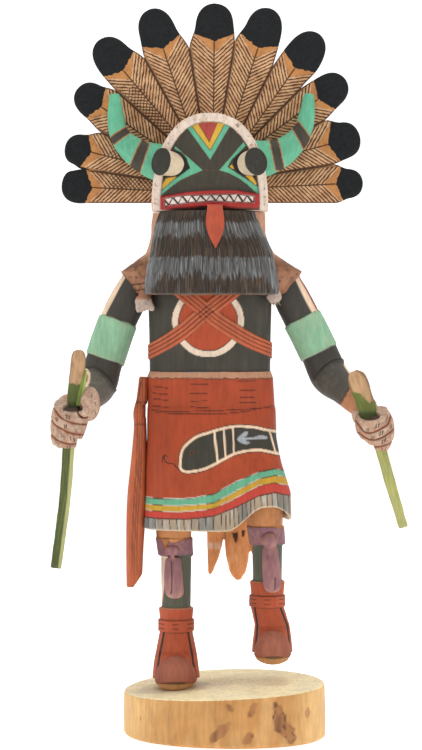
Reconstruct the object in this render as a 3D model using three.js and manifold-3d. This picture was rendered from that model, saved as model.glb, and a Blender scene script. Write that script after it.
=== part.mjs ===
// A carved and painted katsina doll of cottonwood root, dancing on a slice of the same root.
// Millimetres, +Z up. The origin is the middle of the base's flat underside, and the doll faces -Y.
// Left and right are the doll's own: its right side is at -X.
import * as THREE from "three";
import { mergeVertices } from "three/addons/utils/BufferGeometryUtils.js";
import Module from "manifold-3d";

const wasm = await Module();
wasm.setup();

// ---------- driving dimensions ----------
const GAP = 0.3; // glue line between pieces that were carved separately
const AXIS = -7; // the doll stands a little to its right of the base's middle

const BASE = { wide: 50, deep: 52, topAtRight: 21.6, topAtLeft: 26.7, edge: 1.6, sides: 32 };
const NECK = { radius: 12, top: 260.7 };
const STRAP = { proud: 0.9, width: 6.2, tilt: 34, crossing: 208 };
const KILT = { rim: 181, hem: 103.4, thick: 1.6, lift: 11.5, liftAt: 22, liftSpan: 21 };
const SIDES = { trunk: 20, kilt: 24, leg: 10, arm: 8, cape: 20, horn: 8, arch: 18, eye: 16 };
const MASK = { half: 28.8, low: 261, centre: 262, rise: 46.4, front: -22, back: 12, rim: 4.6, sunk: 1.2 };
const CROWN = {
  x: -5.5, z: 273, front: 12.6, thick: 3.6, ridge: 1.1, widen: 0.15, length: 56, footDrop: 7, hub: 32,
};
const EYE = { radius: 6.9, length: 11, lift: 0.12 };
const BEARD = { top: 260.4, low: 219.2, strands: 11, depth: 0.35, topHalf: 23.4, lowHalf: 33.1 };
const TONGUE = { low: 241.6, half: 4.7, rootHalf: 3.9, proud: 2 };
const CAPE = { top: 260.4, corner: 231, frontHem: 219.5, backHem: 186, backHalf: 29.5 };
const SASH = { low: 73.8, cornerX: -45.2, cornerTilt: 54 };

// Each feather, measured from the fan's centre: where its dark tip begins on the quill (across, up),
// its lean from upright in degrees, the length of the tip beyond that and the tip's half width.
const FEATHERS = [
  [-61, 0.7, -87.3, 15.5, 8.3], [-61.3, 18.5, -76, 13.7, 8], [-56.2, 41.2, -55.8, 15.4, 8.9],
  [-45.1, 59.5, -40.2, 19.9, 9.7], [-25.1, 70.7, -18.4, 21, 9.6], [0.6, 74.2, 0.5, 19.3, 9.8],
  [22.7, 70.9, 18, 21, 9.6], [41.3, 60.8, 35, 21.2, 9.9], [53.1, 45.3, 53.6, 17, 9.1],
  [57.9, 22.4, 75, 16.8, 9.4], [61.9, 2.5, 87.3, 13.8, 7.6],
];

// ---------- materials ----------
const paint = (colour, roughness = 0.7) =>
  new THREE.MeshStandardMaterial({ color: colour, roughness, metalness: 0 });
const MATERIAL = {
  wood: paint(0xdfae72, 0.65),
  body: paint(0x9c4f35),
  arm: paint(0x4b4842),
  mask: paint(0xd0b9a4),
  feather: paint(0xa87650),
  horn: paint(0x6ab496, 0.6),
  eye: paint(0xc8b698),
  beard: paint(0x504a44, 0.8),
  tongue: paint(0xb85643),
  cape: paint(0xa27e69, 0.8),
  whip: paint(0x6f7a48),
  sash: paint(0xa65b3d),
  pelt: paint(0xd38f62, 0.8),
};

// ---------- shape tools ----------
const at = (x, y, z) => new THREE.Vector3(x, y, z);
const radians = THREE.MathUtils.degToRad;
const mix = THREE.MathUtils.lerp;
const ease = THREE.MathUtils.smoothstep;
const power = (value, exponent) => Math.sign(value) * Math.abs(value) ** exponent;

// A closed skin through rings of equally many points, with a fan of faces over each end.
function loft(rings) {
  const count = rings[0].length;
  const middle = (ring) => ring.reduce((sum, p) => sum.add(p), at(0, 0, 0)).divideScalar(count);
  const points = [...rings.flat(), middle(rings[0]), middle(rings.at(-1))];
  const faces = [];
  for (let i = 0; i < rings.length - 1; i++) {
    for (let j = 0; j < count; j++) {
      const a = i * count + j;
      const b = i * count + ((j + 1) % count);
      faces.push(a, b, b + count, a, b + count, a + count);
    }
  }
  const last = (rings.length - 1) * count;
  for (let j = 0; j < count; j++) {
    const k = (j + 1) % count;
    faces.push(points.length - 2, k, j, points.length - 1, last + j, last + k);
  }
  const geometry = new THREE.BufferGeometry().setFromPoints(points);
  geometry.setIndex(faces);
  return geometry;
}

function volume(geometry) {
  const p = geometry.getAttribute("position");
  const index = geometry.getIndex().array;
  const corner = (i) => new THREE.Vector3().fromBufferAttribute(p, index[i]);
  let sum = 0;
  for (let i = 0; i < index.length; i += 3) sum += corner(i).dot(corner(i + 1).cross(corner(i + 2)));
  return sum / 6;
}

// Any closed geometry as a solid that can be joined and cut, with its faces turned outwards.
function solid(source) {
  const bare = source.clone();
  bare.deleteAttribute("normal");
  bare.deleteAttribute("uv");
  const merged = mergeVertices(bare);
  const index = Uint32Array.from(merged.getIndex().array);
  if (volume(merged) < 0) {
    for (let i = 0; i < index.length; i += 3) [index[i], index[i + 1]] = [index[i + 1], index[i]];
  }
  const vertProperties = Float32Array.from(merged.getAttribute("position").array);
  return new wasm.Manifold(new wasm.Mesh({ numProp: 3, vertProperties, triVerts: index }));
}

function piece(name, shape, material) {
  const result = shape.getMesh();
  const geometry = new THREE.BufferGeometry();
  geometry.setAttribute("position", new THREE.BufferAttribute(result.vertProperties, 3));
  geometry.setIndex(new THREE.BufferAttribute(result.triVerts, 1));
  geometry.computeVertexNormals();
  const mesh = new THREE.Mesh(geometry, material);
  mesh.name = name;
  return mesh;
}

const joined = (shapes) => shapes.reduce((whole, shape) => whole.add(shape));
const largest = (shape) => shape.decompose().reduce((a, b) => (a.volume() > b.volume() ? a : b));

// A level ring: a superellipse, where square 2 is an ellipse and more is boxier.
function levelRing({ x = AXIS, y = 0, z, wide, deep, square = 2.3 }, count) {
  return Array.from({ length: count }, (_, i) => {
    const a = (2 * Math.PI * i) / count;
    return at(x + wide * power(Math.cos(a), 2 / square), y + deep * power(Math.sin(a), 2 / square), z);
  });
}

// A flat-oval bar along a curve. Each size is [half width across "across", half width square to it].
function bar(path, sizes, across, sides, steps, square = 2) {
  const curve = new THREE.CatmullRomCurve3(path, false, "centripetal");
  const rings = [];
  for (let i = 0; i <= steps; i++) {
    const t = i / steps;
    const along = curve.getTangent(t);
    const side = across.clone().addScaledVector(along, -across.dot(along)).normalize();
    const other = along.clone().cross(side);
    const place = t * (sizes.length - 1);
    const k = Math.min(Math.floor(place), sizes.length - 2);
    const [a, b] = [0, 1].map((n) => mix(sizes[k][n], sizes[k + 1][n], place - k));
    const centre = curve.getPoint(t);
    rings.push(Array.from({ length: sides }, (_, j) => {
      const turn = (2 * Math.PI * j) / sides;
      return centre.clone()
        .addScaledVector(side, a * power(Math.cos(turn), 2 / square))
        .addScaledVector(other, b * power(Math.sin(turn), 2 / square));
    }));
  }
  return loft(rings);
}

// A rounded lump: a sphere stretched to three half sizes.
function lump(centre, wide, deep, tall, segments = 12) {
  const ball = new THREE.SphereGeometry(1, segments, Math.round(segments * 0.7));
  ball.scale(wide, tall, deep);
  ball.rotateX(Math.PI / 2);
  return ball.translate(centre.x, centre.y, centre.z);
}

function block(centre, x, y, z) {
  return new THREE.BoxGeometry(x, y, z).translate(centre.x, centre.y, centre.z);
}

// ---------- base ----------
const baseTop = (x) => mix(BASE.topAtRight, BASE.topAtLeft, (x + BASE.wide) / (2 * BASE.wide));

function makeBase() {
  // The slice is an oval whose two sides are pulled towards the front.
  const ring = (scale, height) => Array.from({ length: BASE.sides }, (_, i) => {
    const a = (2 * Math.PI * i) / BASE.sides;
    const x = BASE.wide * Math.cos(a);
    const y = BASE.deep * Math.sin(a) + 3 - 7 * Math.cos(a) ** 2 - 4.5 * Math.cos(a);
    return at(x * scale, y * scale, height(x * scale));
  });
  const edge = BASE.edge / BASE.wide;
  return solid(loft([
    ring(1 - edge, () => 0),
    ring(1, () => BASE.edge),
    ring(1.005, (x) => baseTop(x) / 2),
    ring(1, (x) => baseTop(x) - BASE.edge / 2),
    ring(1 - edge / 2, (x) => baseTop(x)),
  ]));
}

// ---------- figure ----------
// Rings of the trunk from the neck down to the waist, grown outwards by the given amount.
function trunk(grow = 0) {
  const rows = [
    { z: NECK.top + grow, wide: NECK.radius, deep: NECK.radius, y: 1, square: 2 },
    { z: 244, wide: NECK.radius, deep: NECK.radius, y: 1, square: 2 },
    { z: 238, wide: 22, deep: 13, y: 1 },
    { z: 232, wide: 29.4, deep: 15.6, y: 1 },
    { z: 224, wide: 31, deep: 17, y: 1 },
    { z: 200, wide: 30.4, deep: 17.4, y: 1 },
    { z: KILT.rim - 6, wide: 30, deep: 17.4, y: 1 },
  ];
  return solid(loft(rows.map((row) =>
    levelRing({ ...row, wide: row.wide + grow, deep: row.deep + grow }, SIDES.trunk))));
}

// Two bands cross on the chest: slanted slabs keep only the skin of a slightly fuller trunk.
function straps() {
  const skin = trunk(STRAP.proud);
  const below = solid(block(at(AXIS, 0, KILT.rim - 20), 120, 120, 40));
  return [-1, 1].map((side) => {
    const slab = block(at(0, 0, 0), 160, 120, STRAP.width);
    slab.rotateY(radians(side * STRAP.tilt));
    slab.translate(AXIS, 0, STRAP.crossing);
    return solid(slab).intersect(skin).subtract(below);
  });
}

// The hem rises over the lifted left thigh.
function hemHeight(point) {
  const rise = 1 - ease(Math.abs(point.x - KILT.liftAt), 2, KILT.liftSpan);
  const front = 1 - ease(point.y, -8, 10);
  return KILT.hem + KILT.lift * rise * mix(0.45, 1, front);
}

function kilt(grow = 0) {
  const rows = [
    { z: KILT.rim, wide: 30.6, deep: 18.4, y: 1 },
    { z: KILT.rim - 1.2, wide: 31.4, deep: 19.2, y: 1 },
    { z: 164, wide: 31.4, deep: 19.6, y: 1, x: -6.2 },
    { z: 162.6, wide: 31.8, deep: 20.2, y: 1, x: -6 },
    { z: 148, wide: 32, deep: 21, y: 0.5, x: -5.8 },
    { z: 135, wide: 33.4, deep: 22.4, y: 0, x: -4.8 },
    { z: 118, wide: 35.8, deep: 24.2, y: 0, x: -2.6 },
  ];
  const count = SIDES.kilt;
  const rings = rows.map((row) => levelRing({ ...row, wide: row.wide + grow, deep: row.deep + grow }, count));
  const hem = (wide, deep, raise) => levelRing({ x: -3, z: 0, wide: wide + grow, deep: deep + grow }, count)
    .map((p) => at(p.x, p.y, hemHeight(p) + raise - grow));
  rings.push(hem(36.8, 25, 1), hem(36.2, 24.4, 0), hem(36.2 - KILT.thick, 24.4 - KILT.thick, 0));
  rings.push(hem(33, 21.2, 3));
  return solid(loft(rings));
}

// One leg from the sole up into the kilt.
// Stations are level rings, each [height, x, y, half width, half depth].
function leg({ x, toeX, sole, bootTop, rim, strap, garterLow, garterTop, top, thighX, flare, sideways }) {
  const strapTop = bootTop - rim - 0.4;
  const strapLow = strapTop - strap;
  const stations = [
    [sole, toeX, 1, 11.2, 14.4],
    [sole + 3.2, toeX, 1, 12, 15],
    [sole + 12, toeX, 1, 11.1, 14.2],
    [sole + 16, toeX, 2, 10.5, 12.8],
    [sole + 18, toeX, 4, 10.1, 10.8],
    [strapLow - 0.5, x, 5, 8.4, 8.6],
    [strapLow, x, 5, 9, 9.2],
    [strapTop, x, 5, 9, 9.2],
    [strapTop + 0.4, x, 5, 8.3, 8.5],
    [bootTop, x, 5, 8.6, 8.8],
    [bootTop + 0.4, x, 5, 7.6, 7.8],
    [garterLow - 0.4, x, 4, 8, 8.4],
    [garterLow, x, 4, 8.8, 9.2],
    [garterTop, thighX, 2, 9.3, 9.8],
    [garterTop + 0.4, thighX, 2, 8.6, 9.2],
    [top, thighX, 0, 9.6, 10.4],
  ];
  const rings = stations.map(([z, cx, y, wide, deep], i) => {
    const ring = levelRing({ x: cx, y, z, wide: wide * (i < 5 ? flare : 1), deep, square: 2.2 }, SIDES.leg);
    return i > 0 ? ring : ring.map((p) => at(p.x, p.y, z + sideways * (p.x - cx)));
  });
  return loft(rings);
}

// The garter's knot and its hanging tie, carved on the front of the leg.
function garterTie(x, y, top, low) {
  const knot = lump(at(x, y, top - 4), 5, 3.2, 4.2, 8);
  const path = [at(x, y + 1.6, top - 6), at(x, y - 0.6, mix(top, low, 0.5)), at(x, y + 0.6, low)];
  const tie = bar(path, [[3.6, 2.4], [5, 2.6], [4.8, 2.2], [2.6, 1.4]], at(1, 0, 0), 8, 4);
  return joined([solid(knot), solid(tie)]);
}

const baseSlope = (BASE.topAtLeft - BASE.topAtRight) / (2 * BASE.wide);
const LEG_RIGHT = {
  x: -24, toeX: -24, sole: baseTop(-24) + GAP, bootTop: 64, rim: 4.8, strap: 6.5,
  garterLow: 88.4, garterTop: 98, top: 112, thighX: -25.2, flare: 1, sideways: baseSlope,
};
const LEG_LEFT = {
  x: 21.8, toeX: 24.2, sole: 36, bootTop: 78.4, rim: 6.7, strap: 7.4,
  garterLow: 94, garterTop: 104, top: 122, thighX: 20.6, flare: 0.86, sideways: 0,
};

function makeFigure() {
  const legs = [LEG_RIGHT, LEG_LEFT].map((side) => solid(leg(side)));
  const ties = [
    garterTie(-23.4, -6.4, LEG_RIGHT.garterTop - 4, 67.5),
    garterTie(22.4, -6.4, LEG_LEFT.garterTop - 2, 71),
  ];
  return joined([trunk(), ...straps(), kilt(), ...legs, ...ties]);
}

// ---------- mask ----------
// The mask's outline seen from the front: a squarish arch. In shrinks it evenly, and low is its flat foot.
function archPoints(inset, low, count) {
  const points = [];
  for (let i = 0; i <= count; i++) {
    const a = (Math.PI * i) / count;
    const x = (MASK.half - inset) * power(Math.cos(a), 2 / 2.3);
    const z = MASK.centre + (MASK.rise - inset) * power(Math.sin(a), 2 / 2.3);
    points.push([x, i % count === 0 ? low : z]);
  }
  return points;
}

// The mask's face curves back towards both sides.
const faceBend = (x) => 0.006 * x * x;

// Each layer is [inset, y, share of the face's bend].
function archSolid(layers, low) {
  return solid(loft(layers.map(([inset, y, bend]) =>
    archPoints(inset, low, SIDES.arch).map(([x, z]) => at(AXIS + x, y + bend * faceBend(x), z)))));
}

function mouthPanel() {
  const wide = MASK.half - MASK.rim - 0.4;
  const steps = 12;
  const across = Array.from({ length: steps + 1 }, (_, i) => mix(-wide, wide, i / steps));
  return solid(loft([-wide - 2, ...across, wide + 2].map((x) => {
    const y = MASK.front + MASK.sunk + faceBend(x);
    const bow = 1.6 * (1 - Math.min(1, Math.abs(x / wide)) ** 2);
    const [low, high] = [MASK.low + 1 + bow, MASK.low + 9 + bow];
    const proud = Math.abs(x) > wide ? 0.4 : 2.2;
    const edge = 0.6 - proud;
    const section = [[3, low], [edge, low], [-proud, low + 1.2], [-proud, high - 1.2], [edge, high], [3, high]];
    return section.map(([forward, z]) => at(AXIS + x, y + forward, z));
  })));
}

function makeMask() {
  const { front, back, low, rim, sunk } = MASK;
  const helmet = archSolid([[1, front, 1], [0, front + 1, 1], [0, back - 5, 0], [3, back, 0]], low);
  const face = archSolid([[rim, front - 8, 0], [rim, front + sunk, 1]], low - 10);
  return helmet.subtract(face).add(mouthPanel());
}

// ---------- crown ----------
// One feather lies along +Z from its own tip line: flat behind, with a low ridge along its quill.
// It widens towards the root, so that neighbours meet in a groove between their ridges.
function feather(tip, half) {
  const widthAt = (fromEnd) => half * (1 + CROWN.widen * fromEnd / tip) *
    Math.sqrt(1 - Math.max(0, 1 - fromEnd / (tip * 0.55)) ** 2.8);
  const stations = [tip + CROWN.length, tip, ...[0.5, 0.3, 0.16, 0.06, 0.012].map((t) => t * tip)];
  const edge = CROWN.thick - CROWN.ridge;
  return loft(stations.map((fromEnd) => {
    const w = widthAt(fromEnd);
    return [[w, 0], [w, edge], [0, CROWN.thick], [-w, edge], [-w, 0]]
      .map(([x, depth]) => at(x, -depth, tip - fromEnd));
  }));
}

function makeCrown() {
  const back = CROWN.front + CROWN.thick;
  const feathers = FEATHERS.map(([across, up, lean, tip, half]) => {
    const one = feather(tip, half);
    one.rotateY(radians(lean));
    return solid(one.translate(CROWN.x + across, back, CROWN.z + up));
  });
  const foot = solid(block(at(CROWN.x, CROWN.front, CROWN.z - CROWN.footDrop - 30), 180, 60, 60));
  const plate = new THREE.CylinderGeometry(CROWN.hub, CROWN.hub, CROWN.thick - CROWN.ridge, 24);
  plate.translate(CROWN.x, back - (CROWN.thick - CROWN.ridge) / 2, CROWN.z);
  return joined([...feathers, solid(plate)]).subtract(foot);
}

// ---------- horns and eyes ----------
function makeHorn(side) {
  const across = at(0, 1, 0);
  const path = side < 0
    ? [at(-27, 0, 284), at(-33.6, 2, 285.9), at(-44.7, 4, 291.3), at(-52.4, 5, 299.5),
      at(-54.3, 5.4, 309.8), at(-54.8, 5.6, 319.6)]
    : [at(14, 0, 287), at(20, 2, 287.6), at(30.6, 4, 291.8), at(38.6, 5, 300),
      at(41.6, 5.4, 309.8), at(42.6, 5.6, 318.8)];
  const sizes = [[6, 9.4], [6, 9.2], [5.6, 7], [4.8, 5], [3.8, 4], [2.6, 2.6]];
  const horn = bar(path, sizes, across, SIDES.horn, 9);
  const tip = lump(path.at(-1), 2.6, 2.6, 2.2, 8);
  return joined([solid(horn), solid(tip)]);
}

function eyeShape(side, grow = 0) {
  const turn = side < 0 ? 47 : 38;
  const disc = side < 0 ? at(-31.2, -21.6, 284.4) : at(15.8, -21.6, 284.5);
  const peg = new THREE.CylinderGeometry(EYE.radius + grow, EYE.radius + grow, EYE.length + grow, SIDES.eye);
  peg.translate(0, -(EYE.length + grow) / 2, 0);
  const outwards = at(side * Math.sin(radians(turn)), -Math.cos(radians(turn)), EYE.lift).normalize();
  peg.applyQuaternion(new THREE.Quaternion().setFromUnitVectors(at(0, 1, 0), outwards));
  return solid(peg.translate(disc.x, disc.y, disc.z));
}

// ---------- beard and tongue ----------
// The beard is a curved slab that widens downwards; its front is fluted into locks.
function beardFront(x, z) {
  const down = (BEARD.top - z) / (BEARD.top - BEARD.low);
  const wide = mix(25, 34, down ** 0.8);
  return -24.6 - 6.4 * Math.sin(down * 1.7) + 9 * Math.abs(x / wide) ** 2.4;
}

function beardRing(z) {
  const down = (BEARD.top - z) / (BEARD.top - BEARD.low);
  const wide = mix(BEARD.topHalf, BEARD.lowHalf, Math.sin((down * Math.PI) / 2));
  const centre = mix(AXIS - 1.3, AXIS + 1.2, ease(down, 0.1, 0.52));
  const count = BEARD.strands * 2;
  const front = Array.from({ length: count + 1 }, (_, i) => {
    const x = mix(-wide, wide, i / count);
    const groove = i % 2 ? BEARD.depth : -BEARD.depth;
    return at(centre + x, beardFront(x, z) + (i % count ? groove : 1.6), z);
  });
  const back = [0.92, 0.5, 0, -0.5, -0.92].map((t) => {
    const thick = mix(7.4, 8.6, down);
    return at(centre + t * wide, beardFront(t * wide, z) + thick, z);
  });
  return [...front, ...back];
}

function makeBeard() {
  const heights = [0, 0.2, 0.45, 0.7, 0.9, 1].map((t) => mix(BEARD.top, BEARD.low, t));
  return solid(loft(heights.map((z) => beardRing(z))));
}

function makeTongue() {
  const top = MASK.low + 1.6;
  const rings = [];
  for (let i = 0; i <= 8; i++) {
    const t = i / 8;
    const z = mix(top, TONGUE.low, t);
    const half = t < 0.5
      ? mix(TONGUE.rootHalf, TONGUE.half, t * 2)
      : Math.max(TONGUE.half * (1 - (t * 2 - 1) ** 2.2), 0.35);
    const x = mix(-4.4, -4.3, t);
    const y = Math.min(beardFront(0, Math.min(z, BEARD.top)) - BEARD.depth, MASK.front - 1.4) - GAP - 0.1;
    const side = -0.75 * TONGUE.proud;
    const ring = [[half, 0], [half * 0.8, side], [0, -TONGUE.proud], [-half * 0.8, side], [-half, 0]];
    rings.push(ring.map(([dx, dy]) => at(x + dx, y + dy, z)));
  }
  return solid(loft(rings));
}

// ---------- arms ----------
const ARM = {
  right: {
    path: [at(-43.5, 3, 228), at(-46.5, 4, 220), at(-53.4, 6, 205.6), at(-60.4, 8, 185.4),
      at(-63.4, 5.5, 174.6), at(-66.5, -8, 168.5), at(-73.6, -29.5, 159.6)],
    band: [205.9, 186.6], fist: at(-74.4, -33.5, 158.6), size: 1.16,
  },
  left: {
    path: [at(30.6, 3, 228), at(33, 4, 220), at(39.6, 6, 207), at(47.8, 8, 190.6),
      at(52.8, 5.5, 178), at(58.6, -7, 170), at(71, -26.5, 156.6)],
    band: [207.2, 191.4], fist: at(72.8, -30.5, 154.2), size: 0.94,
  },
};
const ARM_SIZES = [[7, 7.6], [8.8, 9.2], [9.2, 9.4], [9.3, 9.6], [9.6, 9.8], [8.2, 8.2], [7, 7.2]];

function armLimb(side, grow = 0) {
  const sizes = ARM_SIZES.map(([a, b]) => [a + grow, b + grow]);
  return solid(bar(ARM[side].path, sizes, at(1, 0, 0), SIDES.arm, 9));
}

// A band round the upper arm: the stretch of a fuller arm between two slanted planes.
function armBand(side) {
  const { path, band } = ARM[side];
  const slope = path[3].clone().sub(path[2]).normalize();
  const full = armLimb(side, 0.7);
  const middle = path[2].clone().lerp(path[3], 0.5);
  const length = (band[0] - band[1]) / Math.abs(slope.z);
  const slab = new THREE.BoxGeometry(60, length, 60);
  slab.applyQuaternion(new THREE.Quaternion().setFromUnitVectors(at(0, 1, 0), slope));
  return solid(slab.translate(middle.x, middle.y, middle.z)).intersect(full);
}

// Four fingers lie one above the other, bent round the whip from the outer side to the inner one.
function fist(side) {
  const { fist: centre, size } = ARM[side];
  const outward = side === "right" ? -1 : 1;
  const palm = lump(at(centre.x, centre.y + 2 * size, centre.z), 9.4 * size, 8.4 * size, 13 * size, 8);
  const shapes = [solid(palm)];
  for (let finger = 0; finger < 4; finger++) {
    const z = centre.z + (9.6 - 6.4 * finger) * size;
    const reach = finger === 3 ? 7.2 : 8;
    const path = [-100, -55, 0, 50, 85].map((turn) => {
      const a = radians(turn);
      return at(centre.x - outward * reach * size * Math.sin(a),
        centre.y - (reach - 1) * size * Math.cos(a), z - (turn / 100) * 1.6 * size);
    });
    shapes.push(solid(bar(path, [[3.2 * size, 2.8 * size], [3.1 * size, 2.6 * size]], at(0, 0, 1), 6, 3)));
  }
  return joined(shapes);
}

// ---------- whips ----------
const WHIPS = {
  right: {
    path: [at(-71, -33, 191.6), at(-71.5, -33.1, 181), at(-73, -33.2, 169), at(-75.4, -33.4, 150),
      at(-77.6, -33.5, 120), at(-82, -33.6, 86)],
    sizes: [[2.9, 1], [3.6, 1.3], [3.4, 1.3], [3, 1.2], [2.8, 1.2], [2.6, 1]],
  },
  left: {
    path: [at(64.2, -30.4, 181.4), at(65.4, -30.4, 176.5), at(67.8, -30.5, 169.9), at(70.2, -30.6, 163),
      at(74.6, -30.8, 150), at(81, -31, 127), at(87.4, -31.2, 105.6)],
    sizes: [[2.8, 1], [4.8, 1.2], [4.8, 1.3], [4.1, 1.3], [2.9, 1.2], [2.6, 1.2], [2.2, 1]],
  },
};

function whip(side, grow = 0) {
  const { path, sizes } = WHIPS[side];
  return solid(bar(path, sizes.map(([a, b]) => [a + grow, b + grow]), at(1, 0, 0), 6, path.length - 1));
}

// ---------- cape ----------
function capeCloak() {
  const rows = [
    { z: CAPE.backHem, wide: 27, deep: 20, y: 2 },
    { z: CAPE.backHem + 8, wide: 33, deep: 20.6, y: 2 },
    { z: 210, wide: 36.5, deep: 20.8, y: 2 },
    { z: 218, wide: 38, deep: 20.6, y: 1.6, x: -6.6 },
    { z: 224, wide: 41.4, deep: 20, y: 1.4, x: -6.5 },
    { z: CAPE.corner, wide: 45.3, deep: 18.6, y: 1.4, x: -6.5 },
    { z: 235, wide: 41, deep: 17.6, y: 1.2, x: -6.6 },
    { z: 240, wide: 32, deep: 16.4, y: 1 },
    { z: 245, wide: 29.8, deep: 16, y: 1, x: -7.3 },
    { z: CAPE.top, wide: 28.3, deep: 14.2, y: 1, x: -7.7 },
  ];
  return solid(loft(rows.map((row) => levelRing(row, SIDES.cape))));
}

// Below the shoulders only the cape's back hangs down, a little narrower than the trunk.
function makeCape(cutters) {
  const [open, far, middle] = [6, 40, CAPE.frontHem - 40];
  const front = solid(block(at(AXIS, open - far, middle), 140, 80, 80));
  const beside = [-1, 1].map((side) =>
    solid(block(at(AXIS + side * (CAPE.backHalf + far), 0, middle), 80, 160, 80)));
  const paws = [at(-38.6, -10.6, 215.8), at(24.6, -11, 218)].map((spot) => solid(lump(spot, 4, 2.4, 5.6, 8)));
  let cape = capeCloak();
  for (const cutter of [front, ...beside]) cape = cape.subtract(cutter);
  for (const paw of paws) cape = cape.add(paw);
  for (const cutter of cutters) cape = cape.subtract(cutter);
  return cape;
}

// ---------- sash and fox pelt ----------
function makeSash() {
  const knotHigh = lump(at(-40.8, 1, 172.4), 3, 6.6, 6, 8);
  const knotLow = lump(at(-42.8, 1, 160.4), 3, 7, 7, 8);
  const path = [at(-42.4, 1, 166), at(-42.9, 1, 150), at(-43.9, 1, 122), at(-44.2, 1, 100),
    at(-44.9, 1, SASH.low)];
  const hang = bar(path, [[2.7, 6], [3.1, 7.6], [4, 8.8], [4.3, 9.2], [3.8, 9.2]], at(1, 0, 0), 8, 5, 3);
  const foot = block(at(0, 0, SASH.low - 20), 140, 60, 40);
  const corner = block(at(0, 0, -20), 60, 60, 40);
  corner.rotateY(radians(-SASH.cornerTilt));
  corner.translate(SASH.cornerX, 0, SASH.low);
  return joined([solid(knotHigh), solid(knotLow), solid(hang)]).subtract(solid(foot)).subtract(solid(corner));
}

function makePelt() {
  const y = 25;
  const bodyPath = [at(4, y - 2, 176), at(4, y, 160), at(4.4, y + 2, 140), at(5, y + 2.5, 118),
    at(6, y + 1.5, 104)];
  const body = bar(bodyPath, [[8, 2.2], [11, 2.8], [13, 3.2], [13.6, 3.2], [11, 2.8]], at(1, 0, 0), 10, 4);
  const tail = bar([at(6.4, y + 1.6, 112), at(7, y + 1, 98), at(7.2, y, 84), at(7.3, y, 73.6)],
    [[6, 2.8], [6.6, 3.2], [4.4, 2.6], [0.8, 0.8]], at(1, 0, 0), 8, 4);
  const paws = [[-4.4, 76.6], [19.6, 84]].map(([x, low]) => bar(
    [at(x, y + 1.4, 112), at(x - 0.8, y + 1, 96), at(x - 2.4, y, 84), at(x - 3, y, low)],
    [[4.4, 2.4], [4.5, 2.6], [3.4, 2.2], [0.8, 0.8]], at(1, 0, 0), 6, 4));
  return joined([solid(body), solid(tail), ...paws.map(solid)]);
}

// ---------- assembly ----------
const group = new THREE.Group();
const add = (name, shape, material) => group.add(piece(name, shape, material));

const figure = makeFigure();
const eyes = { right: eyeShape(-1), left: eyeShape(1) };
const grownEyes = [eyeShape(-1, GAP), eyeShape(1, GAP)];
const horns = { right: makeHorn(-1), left: makeHorn(1) };

let mask = makeMask();
for (const eye of grownEyes) mask = mask.subtract(eye);
const maskSpace = archSolid([[1 - GAP, MASK.front - GAP, 1], [-GAP, MASK.front + 1, 1],
  [-GAP, MASK.back - 5, 0], [3 - GAP, MASK.back + GAP, 0]], MASK.low - GAP);

const trunkSpace = trunk(GAP + STRAP.proud);
const kiltSpace = kilt(GAP);
const sides = ["right", "left"];
const limbs = Object.fromEntries(sides.map((side) => [side,
  armLimb(side).add(armBand(side)).add(fist(side)).subtract(whip(side, GAP)).subtract(trunkSpace)]));

add("base", makeBase(), MATERIAL.wood);
add("figure", figure, MATERIAL.body);
for (const side of sides) {
  add(`arm_${side}`, limbs[side], MATERIAL.arm);
  add(`horn_${side}`, horns[side].subtract(maskSpace), MATERIAL.horn);
  add(`eye_${side}`, eyes[side], MATERIAL.eye);
  add(`whip_${side}`, whip(side), MATERIAL.whip);
}
add("mask", mask, MATERIAL.mask);
add("crown", makeCrown(), MATERIAL.feather);
add("beard", makeBeard(), MATERIAL.beard);
add("tongue", makeTongue(), MATERIAL.tongue);
add("cape", makeCape([trunkSpace, ...sides.map((side) => armLimb(side, GAP))]), MATERIAL.cape);
add("sash", largest(makeSash().subtract(kiltSpace)), MATERIAL.sash);
add("fox_pelt", makePelt().subtract(kiltSpace), MATERIAL.pelt);

export default group;
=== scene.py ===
"""Looks for a carved and painted katsina doll on a root slice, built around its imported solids.
Shapes are worked out in millimetres and put into the scene in metres.
The doll faces -Y, its right side at -X."""

import math

import bmesh
import bpy
import numpy as np
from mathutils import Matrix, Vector


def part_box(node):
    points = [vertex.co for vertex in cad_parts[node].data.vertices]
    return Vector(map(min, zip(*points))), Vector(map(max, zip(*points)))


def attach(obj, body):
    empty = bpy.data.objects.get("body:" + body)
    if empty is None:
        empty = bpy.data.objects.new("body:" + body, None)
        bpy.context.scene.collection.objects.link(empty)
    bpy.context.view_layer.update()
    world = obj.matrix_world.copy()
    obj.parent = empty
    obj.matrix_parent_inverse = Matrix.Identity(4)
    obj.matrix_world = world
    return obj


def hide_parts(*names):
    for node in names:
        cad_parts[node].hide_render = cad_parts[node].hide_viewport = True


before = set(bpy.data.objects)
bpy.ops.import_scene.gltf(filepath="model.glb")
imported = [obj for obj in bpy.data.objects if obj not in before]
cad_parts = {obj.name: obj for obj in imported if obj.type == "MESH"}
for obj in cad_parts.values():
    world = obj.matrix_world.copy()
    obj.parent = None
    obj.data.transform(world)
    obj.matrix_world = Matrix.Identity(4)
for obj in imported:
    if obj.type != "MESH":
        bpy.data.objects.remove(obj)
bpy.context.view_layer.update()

MM = 0.001  # metres in a millimetre
AXIS = -7.0  # x of the doll's own middle line
SQUARE = 2.3  # how square the carved rings are: 2 is an ellipse, more is squarer


def box_mm(node):
    """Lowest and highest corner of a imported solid, in millimetres."""
    low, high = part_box(node)
    return np.array(low) / MM, np.array(high) / MM


# ---------- colours ----------
def rgb(red, green, blue):
    """A paint's linear colour from its eight-bit screen values."""
    c = np.array([red, green, blue], float) / 255
    return np.where(c > 0.04045, ((c + 0.055) / 1.055) ** 2.4, c / 12.92)


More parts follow.
